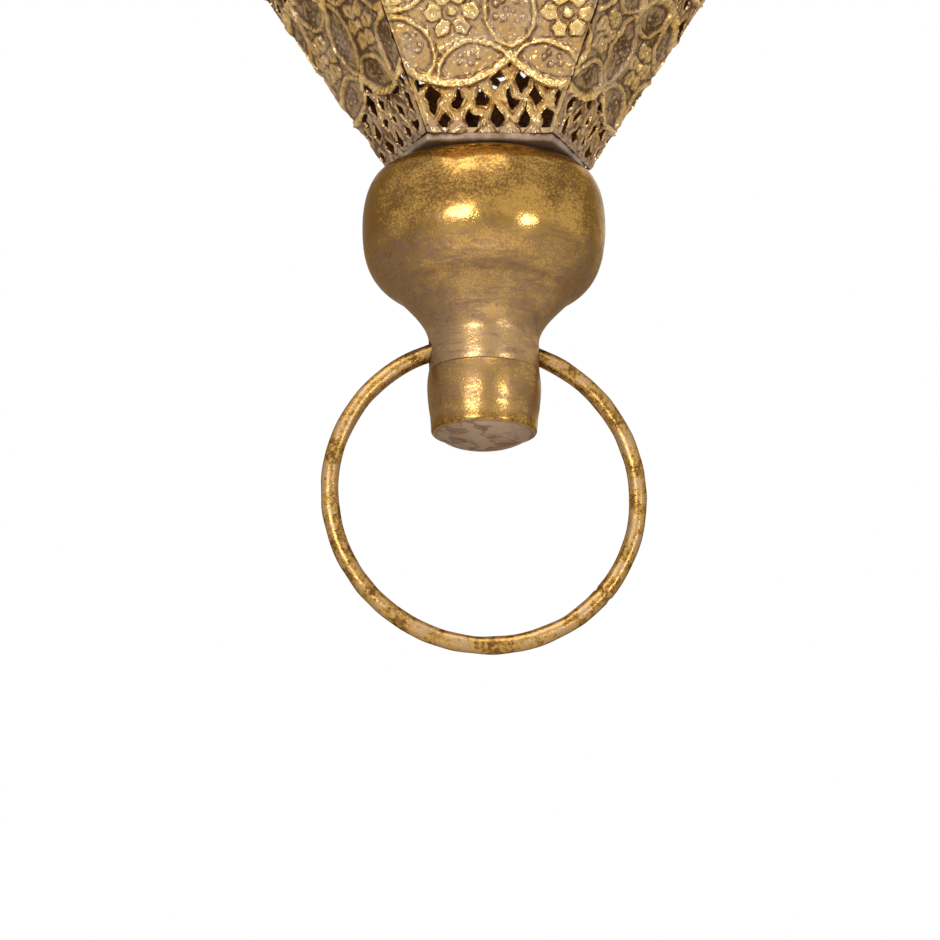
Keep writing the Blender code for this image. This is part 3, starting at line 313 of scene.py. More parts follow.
def stamped_brass(colours):
    """Stamped sheet brass: ridges rubbed bright, pinkish brown patina in the hollows, punched stipple.

    The foot of the body is greyed by the soldering flame.
    """
    material, tree, shader, place = finish("stamped_brass_patinated")
    # The relief tone carries patina and painted shade: darker beside the ridges and on the panels away
    # from the front
    relief = add(tree, "ShaderNodeAttribute", attribute_name="relief").outputs["Fac"]
    cloud = add(tree, NOISE, {"Vector": place, "Scale": 1 / (13 * MM), "Detail": 5.0, "Roughness": 0.62})
    fleck = add(tree, NOISE, {"Vector": place, "Scale": 1 / (1.5 * MM), "Detail": 3.0, "Roughness": 0.7})
    stipple = add(tree, "ShaderNodeTexVoronoi", {"Vector": place, "Scale": 1 / (1.7 * MM)})
    unevenness = add(tree, MATH, fleck, 1.1, -0.95, operation="MULTIPLY_ADD")
    patches = add(tree, MATH, cloud, 1.2, unevenness, operation="MULTIPLY_ADD")
    tone = add(tree, MATH, relief, patches, operation="ADD")
    ramp = add(tree, "ShaderNodeValToRGB", tone)
    stops = ramp.color_ramp.elements
    stops[0].position = 0.0
    stops[0].color = colours.recess
    stops[1].position = 0.95
    stops[1].color = colours.bright
    for position, colour in ((0.2, colours.tan), (0.55, colours.gold)):
        stops.new(position).color = colour
    cloud_share = add(tree, RANGE, {"Value": cloud, "From Min": 0.4, "From Max": 0.66, "To Max": 0.6})
    height = add(tree, "ShaderNodeSeparateXYZ", place).outputs["Z"]
    foot_share = add(tree, RANGE, height, BODY_FOOT + 1.5 * MM, BODY_FOOT + 6 * MM, 0.62, 0.0)
    bloom_share = add(tree, MATH, cloud_share, foot_share, operation="MAXIMUM")
    bloomed = add(tree, MIX, {"Factor": bloom_share, FIRST: ramp, SECOND: colours.bloom}, data_type="RGBA")
    dull = add(tree, RANGE, tone, 0.0, 0.8, 0.38, 0.22)
    punched = add(tree, BUMP, {"Strength": 0.6, "Distance": 0.6 * MM, "Height": stipple})
    grain = add(tree, BUMP, {"Strength": 0.3, "Distance": 0.5 * MM, "Height": fleck, "Normal": punched})
    feed(tree, shader, {
        "Base Color": bloomed.outputs[MIXED], "Roughness": dull, "Normal": grain, "Metallic": 0.92,
        "Specular Tint": colours.edge})
    return material


def raw_sheet(colours):
    """The sheet's unpolished inner side: dull, reddish brown, blotched from the annealing fire."""
    material, tree, shader, place = finish("raw_brass_sheet")
    _, colour = clouded(tree, place, 9, colours.inside, colours.umber, (0.35, 0.7))
    feed(tree, shader, {"Base Color": colour, "Metallic": 0.6, "Roughness": 0.45})
    return material


def plated_steel(colours):
    """Bright zinc plating on steel: pale grey with a faint cloudy sheen and fine drawn lines."""
    material, tree, shader, place = finish("zinc_plated_steel")
    cloud, colour = clouded(tree, place, 6, colours.steel, linear("#8E8B82"), (0.4, 0.8), most=0.5)
    drawn = add(tree, "ShaderNodeMapping", {"Vector": place, "Scale": (1.0, 1.0, 0.05)})
    lines = add(tree, NOISE, {"Vector": drawn, "Scale": 1 / (0.6 * MM), "Detail": 2.0})
    dull = add(tree, RANGE, {"Value": cloud, "To Min": 0.3, "To Max": 0.5})
    bump = add(tree, BUMP, {"Strength": 0.1, "Distance": 0.2 * MM, "Height": lines})
    feed(tree, shader, {"Base Color": colour, "Roughness": dull, "Normal": bump, "Metallic": 1.0})
    return material


def contact_brass(colours):
    """Clean rolled brass of the lamp holder: even gold with slight finger tarnish."""
    material, tree, shader, place = finish("contact_brass")
    cloud, colour = clouded(tree, place, 7, linear("#D8B56A"), colours.tan, (0.45, 0.8), most=0.6)
    dull = add(tree, RANGE, {"Value": cloud, "To Min": 0.2, "To Max": 0.42})
    feed(tree, shader, {"Base Color": colour, "Roughness": dull, "Metallic": 1.0})
    return material


def glazed_porcelain(colours):
    """Slip-cast porcelain under clear glaze: warm white, glossy, with faint pooling and pinholes."""
    material, tree, shader, place = finish("glazed_porcelain")
    pooling, colour = clouded(
        tree, place, 11, colours.porcelain, linear("#DCD5C6"), (0.4, 0.8), most=0.6, detail=3.0)
    bump = add(tree, BUMP, {"Strength": 0.08, "Distance": 0.5 * MM, "Height": pooling})
    feed(tree, shader, {"Base Color": colour, "Normal": bump, "Roughness": 0.14})
    return material


def moulded_rubber(colours):
    """Moulded black rubber: matt, with a dusty bloom."""
    material, tree, shader, place = finish("moulded_black_rubber")
    _, colour = clouded(tree, place, 2, colours.rubber, linear("#4A4845"), (0.5, 0.8), most=0.4)
    feed(tree, shader, {"Base Color": colour, "Roughness": 0.7})
    return material


def frosted_glass(colours):
    """Inside-frosted bulb glass: milky white with a smooth outer gloss."""
    material, tree, shader, place = finish("frosted_bulb_glass")
    _, colour = clouded(tree, place, 4, colours.glass, linear("#E4E0D4"), (0.4, 0.7))
    feed(tree, shader, {
        "Base Color": colour, "Roughness": 0.22, "Transmission Weight": 0.35, "IOR": 1.5})
    return material


MATERIALS = {
    "antique_brass": antique_brass,
    "worn_rod": worn_rod,
    "dull_plate": dull_plate,
    "stamped_brass": stamped_brass,
    "raw_sheet": raw_sheet,
    "zinc_plated_steel": plated_steel,
    "contact_brass": contact_brass,
    "glazed_porcelain": glazed_porcelain,
    "black_rubber": moulded_rubber,
    "frosted_glass": frosted_glass,
}


def material_for(slot):
    """The finish of a slot, made the first time that it is asked for."""
    maker = MATERIALS[slot]
    if callable(maker):
        MATERIALS[slot] = maker(bpy.context.scene.lantern_colours)
    return MATERIALS[slot]


# Mesh helpers


def new_object(name, mesh):
    obj = bpy.data.objects.new(name, mesh)
    bpy.context.scene.collection.objects.link(obj)
    return obj


def settled(name, source):
    """The source with its modifiers applied, as a plain new object. The source goes."""
    bpy.context.view_layer.update()
    depsgraph = bpy.context.evaluated_depsgraph_get()
    evaluated = source.evaluated_get(depsgraph)
    mesh = bpy.data.meshes.new_from_object(evaluated, preserve_all_data_layers=True, depsgraph=depsgraph)
    mesh.name = name
    bpy.data.objects.remove(source, do_unlink=True)
    return new_object(name, mesh)


def dress(obj, body, slot, node, finish_name=None):
    """Gives a new piece its body, its finish and the node that it stands for."""
    if not obj.data.materials:
        obj.data.materials.append(material_for(finish_name or slot))
    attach(obj, body)
    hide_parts(node)


def paint_nodes(slot, *nodes):
    """Gives solids that keep their shape a better finish."""
    for node in nodes:
        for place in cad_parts[node].material_slots:
            place.material = material_for(slot)


def heights(node):
    """The lowest and the highest height of a solid, in millimetres."""
    return [corner[2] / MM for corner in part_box(node)]


def smooth(obj, degrees=35):
    obj.data.shade_smooth()
    obj.data.set_sharp_from_angle(angle=math.radians(degrees))
    return obj


def bezier(start, first, second, end, steps):
    """Points of a cubic curve after its start, with its end."""
    points = []
    for i in range(1, steps + 1):
        t = i / steps
        u = 1 - t
        weights = (u**3, 3 * u * u * t, 3 * u * t * t, t**3)
        corners = (start, first, second, end)
        points.append(tuple(sum(w * p[k] for w, p in zip(weights, corners)) for k in (0, 1)))
    return points


def rounded(corners, radius, steps=4):
    """An open line with each inner corner turned into a small curve."""
    line = [corners[0]]
    for before, corner, after in zip(corners, corners[1:], corners[2:]):
        a, b, c = Vector(before), Vector(corner), Vector(after)
        into = b + (a - b).normalized() * min(radius, (a - b).length * 0.45)
        out = b + (c - b).normalized() * min(radius, (c - b).length * 0.45)
        line.append(tuple(into))
        line += bezier(tuple(into), corner, corner, tuple(out), steps)
    line.append(corners[-1])
    return line


def walled(outer, wall):
    """A closed profile in millimetres: an outer line and the same line set in by a wall."""
    inner = []
    for i, point in enumerate(outer):
        before = Vector(outer[max(i - 1, 0)])
        after = Vector(outer[min(i + 1, len(outer) - 1)])
        along = (after - before).normalized()
        inner.append((max(point[0] + along.y * wall, 0.5), point[1] - along.x * wall))
    return [*outer, *reversed(inner)]


def skinned(name, rings, looped, degrees=35):
    """A skin over rings of points, where one point is a pole. A looped skin ends where it starts."""
    bm = bmesh.new()
    around = max(len(ring) for ring in rings)
    made = []
    for ring in rings:
        corners = [bm.verts.new(point) for point in ring]
        made.append(corners * around if len(corners) == 1 else corners)
    pairs = list(zip(made, made[1:]))
    if looped:
        pairs.append((made[-1], made[0]))
    for a, b in pairs:
        for i in range(around):
            j = (i + 1) % around
            corners = list(dict.fromkeys((a[i], b[i], b[j], a[j])))
            if len(corners) > 2:
                bm.faces.new(corners)
    bmesh.ops.recalc_face_normals(bm, faces=bm.faces)
    mesh = bpy.data.meshes.new(name)
    bm.to_mesh(mesh)
    bm.free()
    return smooth(new_object(name, mesh), degrees)


def turned(name, profile, steps=96, base=0.0):
    """A profile of (radius, height above a base) in millimetres, turned round Z.

    The profile is closed, or has both its ends on the axis.
    """
    turns = [2 * math.pi * i / steps for i in range(steps)]
    rings = []
    for radius, height in profile:
        up = (base + height) * MM
        if radius < 0.001:
            rings.append([(0, 0, up)])
        else:
            rings.append([(radius * MM * math.cos(a), radius * MM * math.sin(a), up) for a in turns])
    return skinned(name, rings, looped=profile[0][0] > 0.001)


def drill(name, radius, reach, steps=40):
    """A rod to cut a round hole with, reaching equally far both ways along Z, in millimetres."""
    return turned(name, [(0, reach), (radius, reach), (radius, -reach), (0, -reach)], steps)


def swept(name, points, radii, around):
    """A closed loop of round wire through points in the XZ plane, with its own radius at each point."""
    rings = []
    for i, (x, z) in enumerate(points):
        ahead = points[(i + 1) % len(points)]
        behind = points[i - 1]
        along = Vector((ahead[0] - behind[0], 0, ahead[1] - behind[1])).normalized()
        side = Vector((along.z, 0, -along.x))
        ring = []
        for k in range(around):
            angle = 2 * math.pi * k / around
            offset = side * math.cos(angle) + Vector((0, 1, 0)) * math.sin(angle)
            ring.append(Vector((x, 0, z)) + offset * radii[i])
        rings.append(ring)
    return skinned(name, rings, looped=True)


def hand_worked(obj, depth, size, seed):
    """Moves a surface in and out a little, as hammering and spinning by hand leave it."""
    for vertex in obj.data.vertices:
        shift = noise.noise(vertex.co / size + Vector((seed, 0, 0)))
        vertex.co += vertex.normal * shift * depth
    return obj


def store(obj, word, shares):
    """Keeps one number for each vertex, for the finish to read."""
    obj.data.attributes.new(word, "FLOAT", "POINT").data.foreach_set("value", shares)


def dulled(obj, base, stops):
    """Stores how dull a surface is as its bloom, from rising (height above a base in mm, share) stops."""
    shares = []
    for vertex in obj.data.vertices:
        height = min(max((vertex.co.z - base) / MM, stops[0][0]), stops[-1][0])
        for (low, low_share), (high, high_share) in zip(stops, stops[1:]):
            if low <= height <= high:
                shares.append(low_share + (high_share - low_share) * (height - low) / (high - low))
                break
    store(obj, "bloom", shares)


def flanks_darkened(obj):
    """Stores patina and painted shade on the two flanks as seen from the front, darker than front and
    back. Its angles are in radians.
    """
    front_middle = 0.2
    front_reach = 0.5
    fade = 0.8
    shares = []
    for vertex in obj.data.vertices:
        away = abs(math.atan2(vertex.co.x, -vertex.co.y) - front_middle)
        rising = min(max((away - front_reach) / fade, 0.0), 1.0)
        falling = min(max((math.pi - front_reach - away) / fade, 0.0), 1.0)
        shares.append(rising * falling)
    store(obj, "patina", shares)


def threaded(obj, low, high, radius, depth):
    """Rolls a screw thread into the vertices at a radius between two heights, in millimetres."""
    for vertex in obj.data.vertices:
        x, y, z = vertex.co / MM
        reach = math.hypot(x, y)
        if low < z < high and abs(reach - radius) < 0.2:
            fade = min(1, (z - low) / THREAD_PITCH, (high - z) / THREAD_PITCH)
            wave = 0.5 + 0.5 * math.cos(2 * math.pi * z / THREAD_PITCH - math.atan2(y, x))
            scale = 1 - depth * fade * wave / reach
            vertex.co.x *= scale
            vertex.co.y *= scale
    return smooth(obj, degrees=60)


def joined_solid(name, base, others):
    """A base with other solids added (UNION) or cut away (DIFFERENCE)."""
    for operation, other in others:
        modifier = base.modifiers.new(operation.lower(), "BOOLEAN")
        modifier.operation = operation
        modifier.object = other
        modifier.solver = "EXACT"
    result = settled(name, base)
    for _, other in others:
        bpy.data.objects.remove(other, do_unlink=True)
    return smooth(result)


def tree_with(name, sockets):
    """A Geometry Nodes tree with named inputs and one geometry output: tree, inputs and output node."""
    tree = bpy.data.node_groups.new(name, "GeometryNodeTree")
    for kind, labels in sockets.items():
        for label in labels:
            tree.interface.new_socket(name=label, in_out="INPUT", socket_type=kind)
    tree.interface.new_socket(name="Geometry", in_out="OUTPUT", socket_type="NodeSocketGeometry")
    given = add(tree, "NodeGroupInput").outputs
    return tree, given, add(tree, "NodeGroupOutput")


def grown(name, tree, values):
    """A plain mesh object made by a tree from values for its named inputs."""
    source = new_object(name + "_source", bpy.data.meshes.new(name + "_source"))
    modifier = source.modifiers.new("grow", "NODES")
    modifier.node_group = tree
    for item in tree.interface.items_tree:
        if item.item_type == "SOCKET" and item.in_out == "INPUT":
            modifier[item.identifier] = values[item.name]
    return settled(name, source)


# Stamped panels, drawn in millimetres in their own plane


def sheet_grid(tree, given, spot):
    """A grid spread over the panel's outline, closer at the foot by the share of foot detail."""
    grid = add(tree, "GeometryNodeMeshGrid", 1.0, 1.0, given["Columns"], given["Rows"])
    axes = add(tree, "ShaderNodeSeparateXYZ", spot).outputs
    share = add(tree, MATH, axes["Y"], 0.5, operation="ADD")
    rest = add(tree, MATH, 1.0, given["Foot Detail"], operation="SUBTRACT")
    bent = add(tree, MATH, share, given["Foot Detail"], rest, operation="MULTIPLY_ADD")
    rise = add(tree, MATH, share, bent, operation="MULTIPLY")
    width = add(tree, RANGE, {"Value": rise, "To Min": given["Foot Width"], "To Max": given["Head Width"]})
    across = add(tree, MATH, axes["X"], width, operation="MULTIPLY")
    up = add(tree, MATH, rise, given["Slant"], operation="MULTIPLY")
    spread = add(tree, VECTOR, across, up)
    return add(tree, "GeometryNodeSetPosition", {"Geometry": grid, "Position": spread})


def hand_drawn(tree, given, spot):
    """Where the noises are read, and where a point falls on each drawing, whose lines wander a little."""
    seed_step = 37.0
    seeded = add(tree, VECTOR, {"Z": given["Seed"]})
    flat_spot = add(tree, VECTOR_MATH, spot, (1.0, 1.0, 0.0), operation="MULTIPLY")
    wander_at = add(tree, VECTOR_MATH, seeded, (0.0, 0.0, seed_step), flat_spot, operation="MULTIPLY_ADD")
    drawn = {}
    for word, size, reach in (("medallion", 8.0, 1.8), ("lattice", 6.0, 4.6)):
        wander = add(tree, NOISE, {"Vector": wander_at, "Scale": 1 / size, "Detail": 1.0})
        centred = add(tree, VECTOR_MATH, wander.outputs["Color"], (0.5, 0.5, 0.5), operation="SUBTRACT")
        drawn[word] = add(
            tree, VECTOR_MATH, centred, (reach, reach, 0.0), flat_spot, operation="MULTIPLY_ADD")
    return wander_at, drawn


def medallion_middles(tree, given, spot):
    """Middles of the medallions and the turn of each: every second row stands half a pitch aside."""
    most_tilt = 0.12
    double_rise = add(tree, MATH, given["Row Rise"], 2.0, operation="MULTIPLY")
    rows = []
    for count, row in ((8, 1.0), (7, 2.0)):
        length = add(tree, MATH, given["Medallion Pitch"], count - 1.0, operation="MULTIPLY")
        points = add(tree, "GeometryNodeMeshGrid", length, double_rise, count, 2)
        height = add(tree, MATH, given["Row Rise"], row, given["First Row"], operation="MULTIPLY_ADD")
        shift = add(tree, VECTOR, given["Shift"], height)
        rows.append(add(tree, "GeometryNodeTransform", {"Geometry": points, "Translation": shift}))
    middles = add(tree, "GeometryNodeJoinGeometry", rows)
    tilt = add(tree, "FunctionNodeRandomValue", {
        2: -most_tilt, 3: most_tilt, "Seed": given["Seed"]}).outputs[1]
    column = add(tree, "ShaderNodeSeparateXYZ", spot).outputs["X"]
    for operation, other in (
        ("SUBTRACT", given["Shift"]), ("DIVIDE", given["Medallion Pitch"]), ("CEIL", 0.0),
        ("FLOORED_MODULO", 2.0),
    ):
        column = add(tree, MATH, column, other, operation=operation)
    about = add(tree, MATH, column, math.pi, tilt, operation="MULTIPLY_ADD")
    return middles, add(tree, VECTOR, {"Z": about})


def spun_copies(tree, geometry, count):
    """Copies of a geometry turned evenly round the origin, made real."""
    spots = add(tree, "GeometryNodeMeshLine", {"Count": count, "Offset": (0.0, 0.0, 0.0)})
    order = add(tree, "GeometryNodeInputIndex")
    angle = add(tree, MATH, order, 2 * math.pi / count, operation="MULTIPLY")
    turn = add(tree, VECTOR, {"Z": angle})
    copies = add(tree, "GeometryNodeInstanceOnPoints", {
        "Points": spots, "Instance": geometry, "Rotation": turn})
    return add(tree, "GeometryNodeRealizeInstances", copies)


def medallion_drawings(tree):
    """One medallion's drawings, each with what a distance is measured to: leaves, berries and a flower."""
    leaf_out = (19.3, 0.0, 0.0)
    berry_out = (13.3, 0.0, 0.0)
    petal_out = (4.9, 0.0, 0.0)
    leaf_count = 5
    petal_count = 6
    leaf_arc = add(tree, "GeometryNodeCurveArc", {
        "Resolution": 18, "Radius": 10.5, "Start Angle": math.radians(113),
        "Sweep Angle": math.radians(134)}, mode="RADIUS")
    leaf_line = add(tree, "GeometryNodeCurveToMesh", leaf_arc)
    leaf = add(tree, "GeometryNodeTransform", {"Geometry": leaf_line, "Translation": leaf_out})
    leaf_heart = add(tree, "GeometryNodeMeshLine", {"Count": 1, "Start Location": leaf_out})
    berry_ring = add(tree, "GeometryNodeMeshCircle", {"Vertices": 5, "Radius": 1.75})
    berries = add(tree, "GeometryNodeTransform", {
        "Geometry": berry_ring, "Translation": berry_out, "Scale": (0.9, 1.5, 1.0)})
    petal_face = add(tree, "GeometryNodeMeshCircle", {"Vertices": 5, "Radius": 2.0}, fill_type="NGON")
    petal = add(tree, "GeometryNodeTransform", {
        "Geometry": petal_face, "Translation": petal_out, "Scale": (1.1, 1.0, 1.0)})
    petal_heart = add(tree, "GeometryNodeMeshLine", {"Count": 1, "Start Location": petal_out})
    return {
        "leaf": (spun_copies(tree, leaf, leaf_count), "EDGES"),
        "leaf_heart": (spun_copies(tree, leaf_heart, leaf_count), "POINTS"),
        "berry": (spun_copies(tree, berries, leaf_count), "POINTS"),
        "petal": (spun_copies(tree, petal, petal_count), "FACES"),
        "petal_heart": (spun_copies(tree, petal_heart, petal_count), "POINTS"),
    }


def medallion_distances(tree, given, middles, turns, place):
    """Distances to each of the medallions' drawings, and the nearest middle."""
    near = {}
    for word, (drawing, element) in medallion_drawings(tree).items():
        copies = add(tree, "GeometryNodeInstanceOnPoints", {
            "Points": middles, "Instance": drawing, "Rotation": turns})
        real = add(tree, "GeometryNodeRealizeInstances", copies)
        nearest = add(tree, "GeometryNodeProximity", {
            "Geometry": real, "Sample Position": place}, target_element=element)
        near[word] = nearest.outputs["Distance"]
    middle = add(tree, "GeometryNodeProximity", {
        "Geometry": middles, "Sample Position": place}, target_element="POINTS")
    near["middle"] = middle.outputs["Distance"]
    from_ring = add(tree, MATH, near["middle"], given["Medallion Radius"], operation="SUBTRACT")
    near["ring"] = add(tree, MATH, from_ring, operation="ABSOLUTE")
    return near, middle


def lattice_bars(tree, given, place):
    """The nearest bar of the lattice: two families of straight lines through points along the foot."""
    half_length = 260.0
    each_way = 36
    above_foot = 3.4
    slope = add(tree, MATH, given["Lattice Rise"], given["Lattice Pitch"], operation="ARCTAN2")
    long_line = add(tree, "GeometryNodeMeshLine", {
        "Count": 2, "Start Location": (-half_length, 0.0, 0.0), "Offset": (2 * half_length, 0.0, 0.0)})
    first = add(tree, MATH, given["Lattice Pitch"], -each_way, given["Shift"], operation="MULTIPLY_ADD")
    start = add(tree, VECTOR, first, above_foot)
    step = add(tree, VECTOR, given["Lattice Pitch"])
    feet = add(tree, "GeometryNodeMeshLine", {
        "Count": 2 * each_way + 1, "Start Location": start, "Offset": step})
    families = []
    for way in (1.0, -1.0):
        angle = add(tree, MATH, slope, way, operation="MULTIPLY")
        turn = add(tree, VECTOR, {"Z": angle})
        families.append(add(tree, "GeometryNodeInstanceOnPoints", {
            "Points": feet, "Instance": long_line, "Rotation": turn}))
    crossed = add(tree, "GeometryNodeJoinGeometry", families)
    lattice = add(tree, "GeometryNodeRealizeInstances", crossed)
    return add(tree, "GeometryNodeProximity", {
        "Geometry": lattice, "Sample Position": place}, target_element="EDGES")


def clearances(tree, given, spot, wander_at, bar, from_middle):
    """How far a point lies past the uneven bars, the medallions' rims, the panel's edges and its hems."""
    uneven = add(tree, NOISE, {"Vector": wander_at, "Scale": 1 / 4.5, "Detail": 1.0})
    bar_share = add(tree, RANGE, uneven, 0.3, 0.7, 0.3, 0.75)
    half_bar = add(tree, MATH, given["Bar"], bar_share, operation="MULTIPLY")
    rim = add(tree, MATH, given["Medallion Radius"], RIM_WIDTH, operation="ADD")
    axes = add(tree, "ShaderNodeSeparateXYZ", spot).outputs
    aside = add(tree, MATH, axes["X"], operation="ABSOLUTE")
    share = add(tree, MATH, axes["Y"], given["Slant"], operation="DIVIDE")
    width = add(tree, RANGE, {
        "Value": share, "To Min": given["Foot Width"], "To Max": given["Head Width"]})
    half_width = add(tree, MATH, width, 0.5, operation="MULTIPLY")
    head_hem = add(tree, MATH, given["Slant"], HEAD_HEM, operation="SUBTRACT")
    past = {}
    for word, reach, limit in (
        ("bar", bar.outputs["Distance"], half_bar), ("rim", from_middle, rim), ("edge", half_width, aside),
        ("foot", axes["Y"], given["Foot Hem"]), ("head", head_hem, axes["Y"]),
    ):
        past[word] = add(tree, MATH, reach, limit, operation="SUBTRACT")
    past["side"] = add(tree, MATH, past["edge"], SIDE_HEM, operation="SUBTRACT")
    return past


def pierced(tree, sheet, past, drawn, bar, middle):
    """The sheet with its holes cut and their borders moved onto the nearer of bar's edge and rim."""
    most_move = 0.7
    from_hem = 0.3
    room = past["side"]
    for word in ("foot", "head"):
        room = add(tree, MATH, room, past[word], operation="MINIMUM")
    clear = room
    for word in ("bar", "rim"):
        clear = add(tree, MATH, clear, past[word], operation="MINIMUM")
    in_hole = add(tree, COMPARE, clear, 0.0, operation="GREATER_THAN")
    cut = add(tree, "GeometryNodeDeleteGeometry", sheet, in_hole, domain="FACE")
    moves = {}
    gaps = {}
    for word, place, nearest in (("bar", drawn["lattice"], bar), ("rim", drawn["medallion"], middle)):
        away = add(tree, VECTOR_MATH, place, nearest.outputs["Position"], operation="SUBTRACT")
        way = add(tree, VECTOR_MATH, away, operation="NORMALIZE")
        back = add(tree, MATH, past[word], -1.0, operation="MULTIPLY")
        moves[word] = add(tree, VECTOR_MATH, {0: way, "Scale": back}, operation="SCALE")
        gaps[word] = add(tree, MATH, past[word], operation="ABSOLUTE")
    bar_is_nearer = add(tree, COMPARE, gaps["bar"], gaps["rim"], operation="LESS_THAN")
    move = add(
        tree, "GeometryNodeSwitch", bar_is_nearer, moves["rim"], moves["bar"], input_type="VECTOR")
    faces = add(tree, "GeometryNodeInputMeshEdgeNeighbors")
    chosen = add(tree, COMPARE, {2: faces, 3: 1}, data_type="INT", operation="EQUAL")
    gap = add(tree, MATH, gaps["bar"], gaps["rim"], operation="MINIMUM")
    within = add(tree, COMPARE, gap, most_move, operation="LESS_THAN")
    inland = add(tree, COMPARE, room, from_hem, operation="GREATER_THAN")
    for other in (within, inland):
        chosen = add(tree, "FunctionNodeBooleanMath", chosen, other, operation="AND")
    return add(tree, "GeometryNodeSetPosition", {"Geometry": cut, "Selection": chosen, "Offset": move})


def ridge_lines(tree, wander_at, near):
    """Height of the ridges, which the die left rough, and how far a point lies past the nearest one."""
    rough = add(tree, NOISE, {"Vector": wander_at, "Scale": 1 / 1.8, "Detail": 1.0})
    rough = add(tree, MATH, rough, 0.8, -0.4, operation="MULTIPLY_ADD")
    ridges = 0.0
    past_ridge = 100.0
    for word, flat_top, reach, height in (
        ("ring", 0.5, 1.6, 1.15), ("leaf", 0.15, 1.1, 0.85), ("petal", 0.1, 0.75, 0.85),
        ("berry", 0.2, 0.8, 0.5), ("middle", 0.8, 1.8, 1.1),
    ):
        frayed = add(tree, MATH, near[word], rough, operation="ADD")
        ridge = add(tree, RANGE, frayed, flat_top, reach, height, 0.0, interpolation_type="SMOOTHSTEP")
        past = add(tree, MATH, frayed, reach, operation="SUBTRACT")
        ridges = add(tree, MATH, ridges, ridge, operation="MAXIMUM")
        past_ridge = add(tree, MATH, past_ridge, past, operation="MINIMUM")
    return ridges, past_ridge


def stamped_relief(tree, given, wander_at, near, past):
    """Height of the stamped sheet, and how bright it is rubbed, less its patina and painted shade."""
    pattern, past_ridge = ridge_lines(tree, wander_at, near)
    falls = {}
    for word, source, start, end, first, last in (
        ("hollow", near["petal_heart"], 0.4, 1.4, -0.45, 0.0),
        ("inside", past["rim"], -1.4, -0.6, 1.0, 0.0),
        ("leaf_bed", near["leaf_heart"], 9.2, 10.3, -0.02, 0.12),
        ("burr", past["bar"], -0.8, -0.05, 0.22, 0.78),
        ("curl", past["edge"], 0.0, 1.6, -0.55, 0.0),
    ):
        falls[word] = add(tree, RANGE, source, start, end, first, last, interpolation_type="SMOOTHSTEP")
    outside = add(tree, MATH, 1.0, falls["inside"], operation="SUBTRACT")
    cells = add(tree, "ShaderNodeTexVoronoi", {"Vector": wander_at, "Scale": 1 / 2.2})
    knobs = add(tree, RANGE, cells, 0.1, 0.5, 0.16, 0.0)
    pattern = add(tree, MATH, pattern, falls["hollow"], operation="ADD")
    for part, where in (
        (falls["leaf_bed"], falls["inside"]), (knobs, falls["inside"]), (falls["burr"], outside),
    ):
        pattern = add(tree, MATH, part, where, pattern, operation="MULTIPLY_ADD")
    edge_share = add(tree, RANGE, past["edge"], 0.2, 2.6, 0.25, 1.0)
    height = add(tree, MATH, pattern, edge_share, falls["curl"], operation="MULTIPLY_ADD")
    for size, detail, depth in ((18.0, 1.0, 2.2), (4.5, 2.0, 1.7)):
        wave = add(tree, NOISE, {"Vector": wander_at, "Scale": 1 / size, "Detail": detail})
        level = add(tree, MATH, wave, 0.5, operation="SUBTRACT")
        height = add(tree, MATH, level, depth, height, operation="MULTIPLY_ADD")
    beside = add(tree, MATH, past_ridge, operation="ABSOLUTE")
    # Patina and painted shade in a dark band beside every ridge
    crevice_patina_and_shade = add(tree, RANGE, beside, 0.1, 0.7, 0.15, -0.35)
    # Patina and painted shade of this side, taken off the tone, twice over outside the medallions
    patina_and_side_shade = add(tree, MATH, outside, given["Patina"], given["Patina"], operation="MULTIPLY_ADD")
    rubbed = add(tree, MATH, pattern, 0.6, operation="MULTIPLY")
    for other in (crevice_patina_and_shade, patina_and_side_shade):
        rubbed = add(tree, MATH, rubbed, other, operation="SUBTRACT")
    return height, rubbed


def panel_tree():
    """One stamped and pierced sheet, drawn in millimetres and handed on in metres.

    Medallions stand in staggered rows, each a ring, five leaves and a six-petalled flower. The ground
    between them is pierced to a diamond lattice. Distances to the drawn lines become ridges.
    """
    tree, given, out = tree_with("stamped_panel", {
        "NodeSocketFloat": (
            "Foot Width", "Head Width", "Slant", "Foot Detail", "Medallion Radius", "Medallion Pitch",
            "Row Rise", "First Row", "Shift", "Lattice Pitch", "Lattice Rise", "Bar", "Foot Hem",
            "Patina"),
        "NodeSocketInt": ("Columns", "Rows", "Seed"),
        "NodeSocketMaterial": ("Sheet",),
    })
    spot = add(tree, "GeometryNodeInputPosition")
    sheet = sheet_grid(tree, given, spot)
    wander_at, drawn = hand_drawn(tree, given, spot)
    middles, turns = medallion_middles(tree, given, spot)
    near, middle = medallion_distances(tree, given, middles, turns, drawn["medallion"])
    bar = lattice_bars(tree, given, drawn["lattice"])
    past = clearances(tree, given, spot, wander_at, bar, near["middle"])
    trimmed = pierced(tree, sheet, past, drawn, bar, middle)
    height, rubbed = stamped_relief(tree, given, wander_at, near, past)
    # Stores the rubbed tone, with its patina and painted shade taken off, as the relief
    kept = add(tree, "GeometryNodeStoreNamedAttribute", {
        "Geometry": trimmed, "Name": "relief", "Value": rubbed}, data_type="FLOAT", domain="POINT")
    lift = add(tree, VECTOR, {"Z": height})
    raised = add(tree, "GeometryNodeSetPosition", {"Geometry": kept, "Offset": lift})
    metres = add(tree, "GeometryNodeTransform", {"Geometry": raised, "Scale": (MM, MM, MM)})
    soft = add(tree, "GeometryNodeSetShadeSmooth", metres)
    real = add(tree, "GeometryNodeRealizeInstances", soft)
    final = add(tree, "GeometryNodeSetMaterial", {"Geometry": real, "Material": given["Sheet"]})
    feed(tree, out, {"Geometry": final})
    return tree


